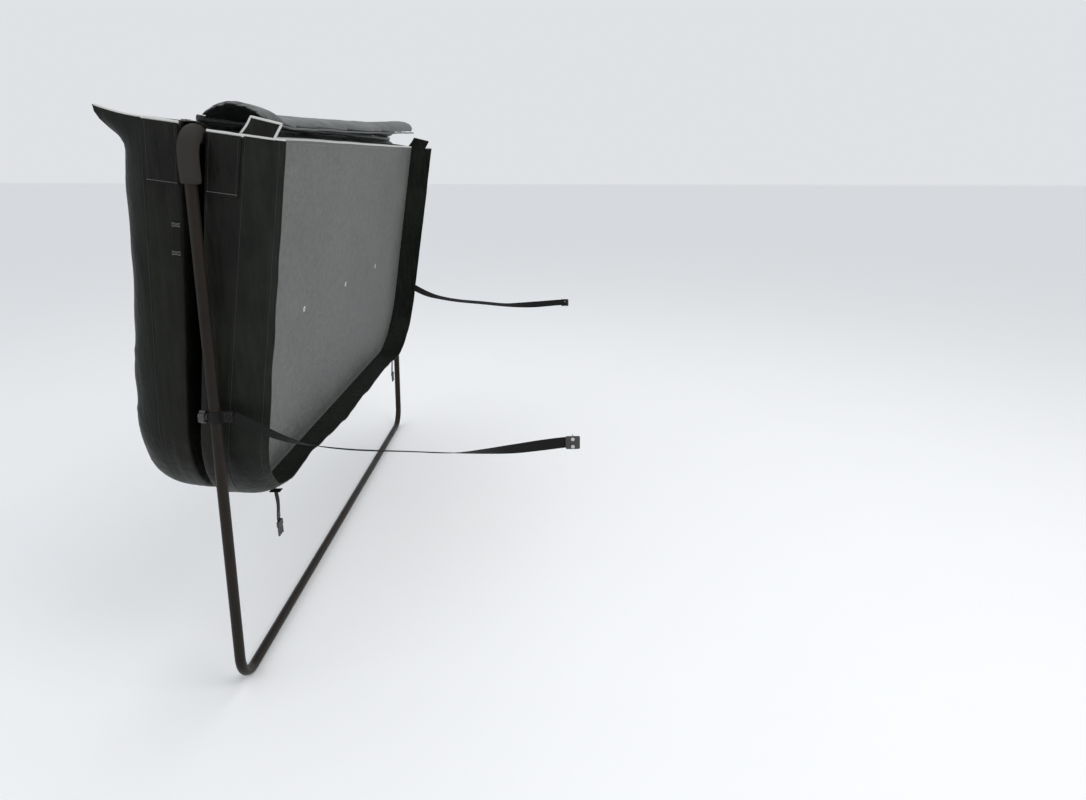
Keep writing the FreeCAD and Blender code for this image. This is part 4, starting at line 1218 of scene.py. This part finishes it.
class SpaCoverColours(bpy.types.PropertyGroup):
    vinyl: colour_prop("Vinyl", "Cover vinyl", (0.0044, 0.0048, 0.0041))
    underside: colour_prop("Underside", "Fabric under the cover", (0.106, 0.112, 0.111))
    # Pale colour of the hinge-edge, skirt-end and near flap strips: painted highlight along those edges.
    binding: colour_prop("Binding", "Edge tape", (0.62, 0.63, 0.6))
    thread: colour_prop("Thread", "Sewing thread", (0.3, 0.3, 0.29))
    tube: colour_prop("Tube", "Painted tube", (0.0085, 0.0068, 0.0055))
    sleeve: colour_prop("Sleeve", "Foam sleeve", (0.027, 0.0245, 0.021))
    webbing: colour_prop("Webbing", "Straps and tabs", (0.007, 0.007, 0.007))


class SPACOVER_OT_finishes(bpy.types.Operator):
    """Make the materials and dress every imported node"""
    bl_idname = "spa_cover.finishes"
    bl_label = "Finishes"

    def execute(self, context):
        make_finishes()
        dress_model()
        return {"FINISHED"}


class SPACOVER_OT_covers(bpy.types.Operator):
    """Sew the vinyl jackets of both halves"""
    bl_idname = "spa_cover.covers"
    bl_label = "Cover jackets"

    def execute(self, context):
        for half in HALVES:
            cover_shell(half)
        return {"FINISHED"}


class SPACOVER_OT_undersides(bpy.types.Operator):
    """Stretch the grey cloth under both halves"""
    bl_idname = "spa_cover.undersides"
    bl_label = "Undersides"

    def execute(self, context):
        for half in HALVES:
            underside_cloth(half)
        return {"FINISHED"}


class SPACOVER_OT_patches(bpy.types.Operator):
    """Sew the doubled vinyl over the ends"""
    bl_idname = "spa_cover.patches"
    bl_label = "End patches"

    def execute(self, context):
        for half in HALVES:
            end_patch(half)
        return {"FINISHED"}


class SPACOVER_OT_skirts(bpy.types.Operator):
    """Hang the skirts, hems and the pale end strips that paint a highlight"""
    bl_idname = "spa_cover.skirts"
    bl_label = "Skirts"

    def execute(self, context):
        for half in HALVES:
            skirt(half)
        return {"FINISHED"}


class SPACOVER_OT_bindings(bpy.types.Operator):
    """Lay pale strips over the hinge edges as painted highlight"""
    bl_idname = "spa_cover.bindings"
    bl_label = "Edge highlight_strips"

    def execute(self, context):
        for half in HALVES:
            edge_highlight_strip(half)
        return {"FINISHED"}


class SPACOVER_OT_hinge(bpy.types.Operator):
    """Lay the vinyl hinge over the bar"""
    bl_idname = "spa_cover.hinge"
    bl_label = "Hinge vinyl"

    def execute(self, context):
        hinge_strip()
        return {"FINISHED"}


class SPACOVER_OT_seal(bpy.types.Operator):
    """Fill the padded seal over the hinge edge"""
    bl_idname = "spa_cover.seal"
    bl_label = "Hinge seal"

    def execute(self, context):
        hinge_seal()
        return {"FINISHED"}


class SPACOVER_OT_flaps(bpy.types.Operator):
    """Stand the bound tabs at each end of the hinge"""
    bl_idname = "spa_cover.flaps"
    bl_label = "Gap flaps"

    def execute(self, context):
        gap_flaps()
        return {"FINISHED"}


class SPACOVER_OT_zips(bpy.types.Operator):
    """Lay the zip tapes and their coils"""
    bl_idname = "spa_cover.zips"
    bl_label = "Zips"

    def execute(self, context):
        zips()
        return {"FINISHED"}


class SPACOVER_OT_sleeves(bpy.types.Operator):
    """Push foam over the top bar and bends"""
    bl_idname = "spa_cover.sleeves"
    bl_label = "Foam sleeves"

    def execute(self, context):
        sleeves()
        return {"FINISHED"}


class SPACOVER_OT_straps(bpy.types.Operator):
    """Hang the webbing between posts and anchors"""
    bl_idname = "spa_cover.straps"
    bl_label = "Stop straps"

    def execute(self, context):
        stop_straps()
        return {"FINISHED"}


class SPACOVER_OT_loops(bpy.types.Operator):
    """Wrap and sew the strap ends round the posts"""
    bl_idname = "spa_cover.loops"
    bl_label = "Strap loops"

    def execute(self, context):
        strap_loops()
        return {"FINISHED"}


class SPACOVER_OT_ties(bpy.types.Operator):
    """Hang the tie straps and sew their tabs"""
    bl_idname = "spa_cover.ties"
    bl_label = "Tie straps"

    def execute(self, context):
        tie_straps()
        return {"FINISHED"}


class SPACOVER_OT_tabs(bpy.types.Operator):
    """Sew the pull tabs on the ends"""
    bl_idname = "spa_cover.tabs"
    bl_label = "Pull tabs"

    def execute(self, context):
        pull_tabs()
        return {"FINISHED"}


class SPACOVER_OT_rivets(bpy.types.Operator):
    """Set the rivet heads on the tube joints"""
    bl_idname = "spa_cover.rivets"
    bl_label = "Rivet heads"

    def execute(self, context):
        rivet_heads()
        return {"FINISHED"}


class SPACOVER_OT_stage(bpy.types.Operator):
    """Set the floor, lights and camera"""
    bl_idname = "spa_cover.stage"
    bl_label = "Stage"

    def execute(self, context):
        make_stage()
        return {"FINISHED"}


OPERATORS = (
    SPACOVER_OT_finishes, SPACOVER_OT_covers, SPACOVER_OT_undersides, SPACOVER_OT_patches,
    SPACOVER_OT_skirts, SPACOVER_OT_bindings, SPACOVER_OT_hinge, SPACOVER_OT_seal,
    SPACOVER_OT_flaps, SPACOVER_OT_zips, SPACOVER_OT_sleeves, SPACOVER_OT_straps,
    SPACOVER_OT_loops, SPACOVER_OT_ties, SPACOVER_OT_tabs, SPACOVER_OT_rivets, SPACOVER_OT_stage,
)


class SPACOVER_PT_panel(bpy.types.Panel):
    """Lists the cover's sizes, colours and building steps."""
    bl_label = "Spa cover"
    bl_idname = "SPACOVER_PT_panel"
    bl_space_type = "VIEW_3D"
    bl_region_type = "UI"
    bl_category = "Spa cover"

    def draw(self, context):
        for group in (context.scene.spa_cover_sizes, context.scene.spa_cover_colours):
            for name in group.__annotations__:
                self.layout.prop(group, name)
        for operator in OPERATORS:
            self.layout.operator(operator.bl_idname)


CLASSES = (SpaCoverSizes, SpaCoverColours, *OPERATORS, SPACOVER_PT_panel)


def register():
    for cls in CLASSES:
        bpy.utils.register_class(cls)
    bpy.types.Scene.spa_cover_sizes = bpy.props.PointerProperty(type=SpaCoverSizes)
    bpy.types.Scene.spa_cover_colours = bpy.props.PointerProperty(type=SpaCoverColours)


def unregister():
    del bpy.types.Scene.spa_cover_colours
    del bpy.types.Scene.spa_cover_sizes
    for cls in reversed(CLASSES):
        bpy.utils.unregister_class(cls)


def main():
    """Builds every piece in order."""
    register()
    for operator in OPERATORS:
        group, name = operator.bl_idname.split(".")
        getattr(getattr(bpy.ops, group), name)()


if __name__ == "__main__":
    main()
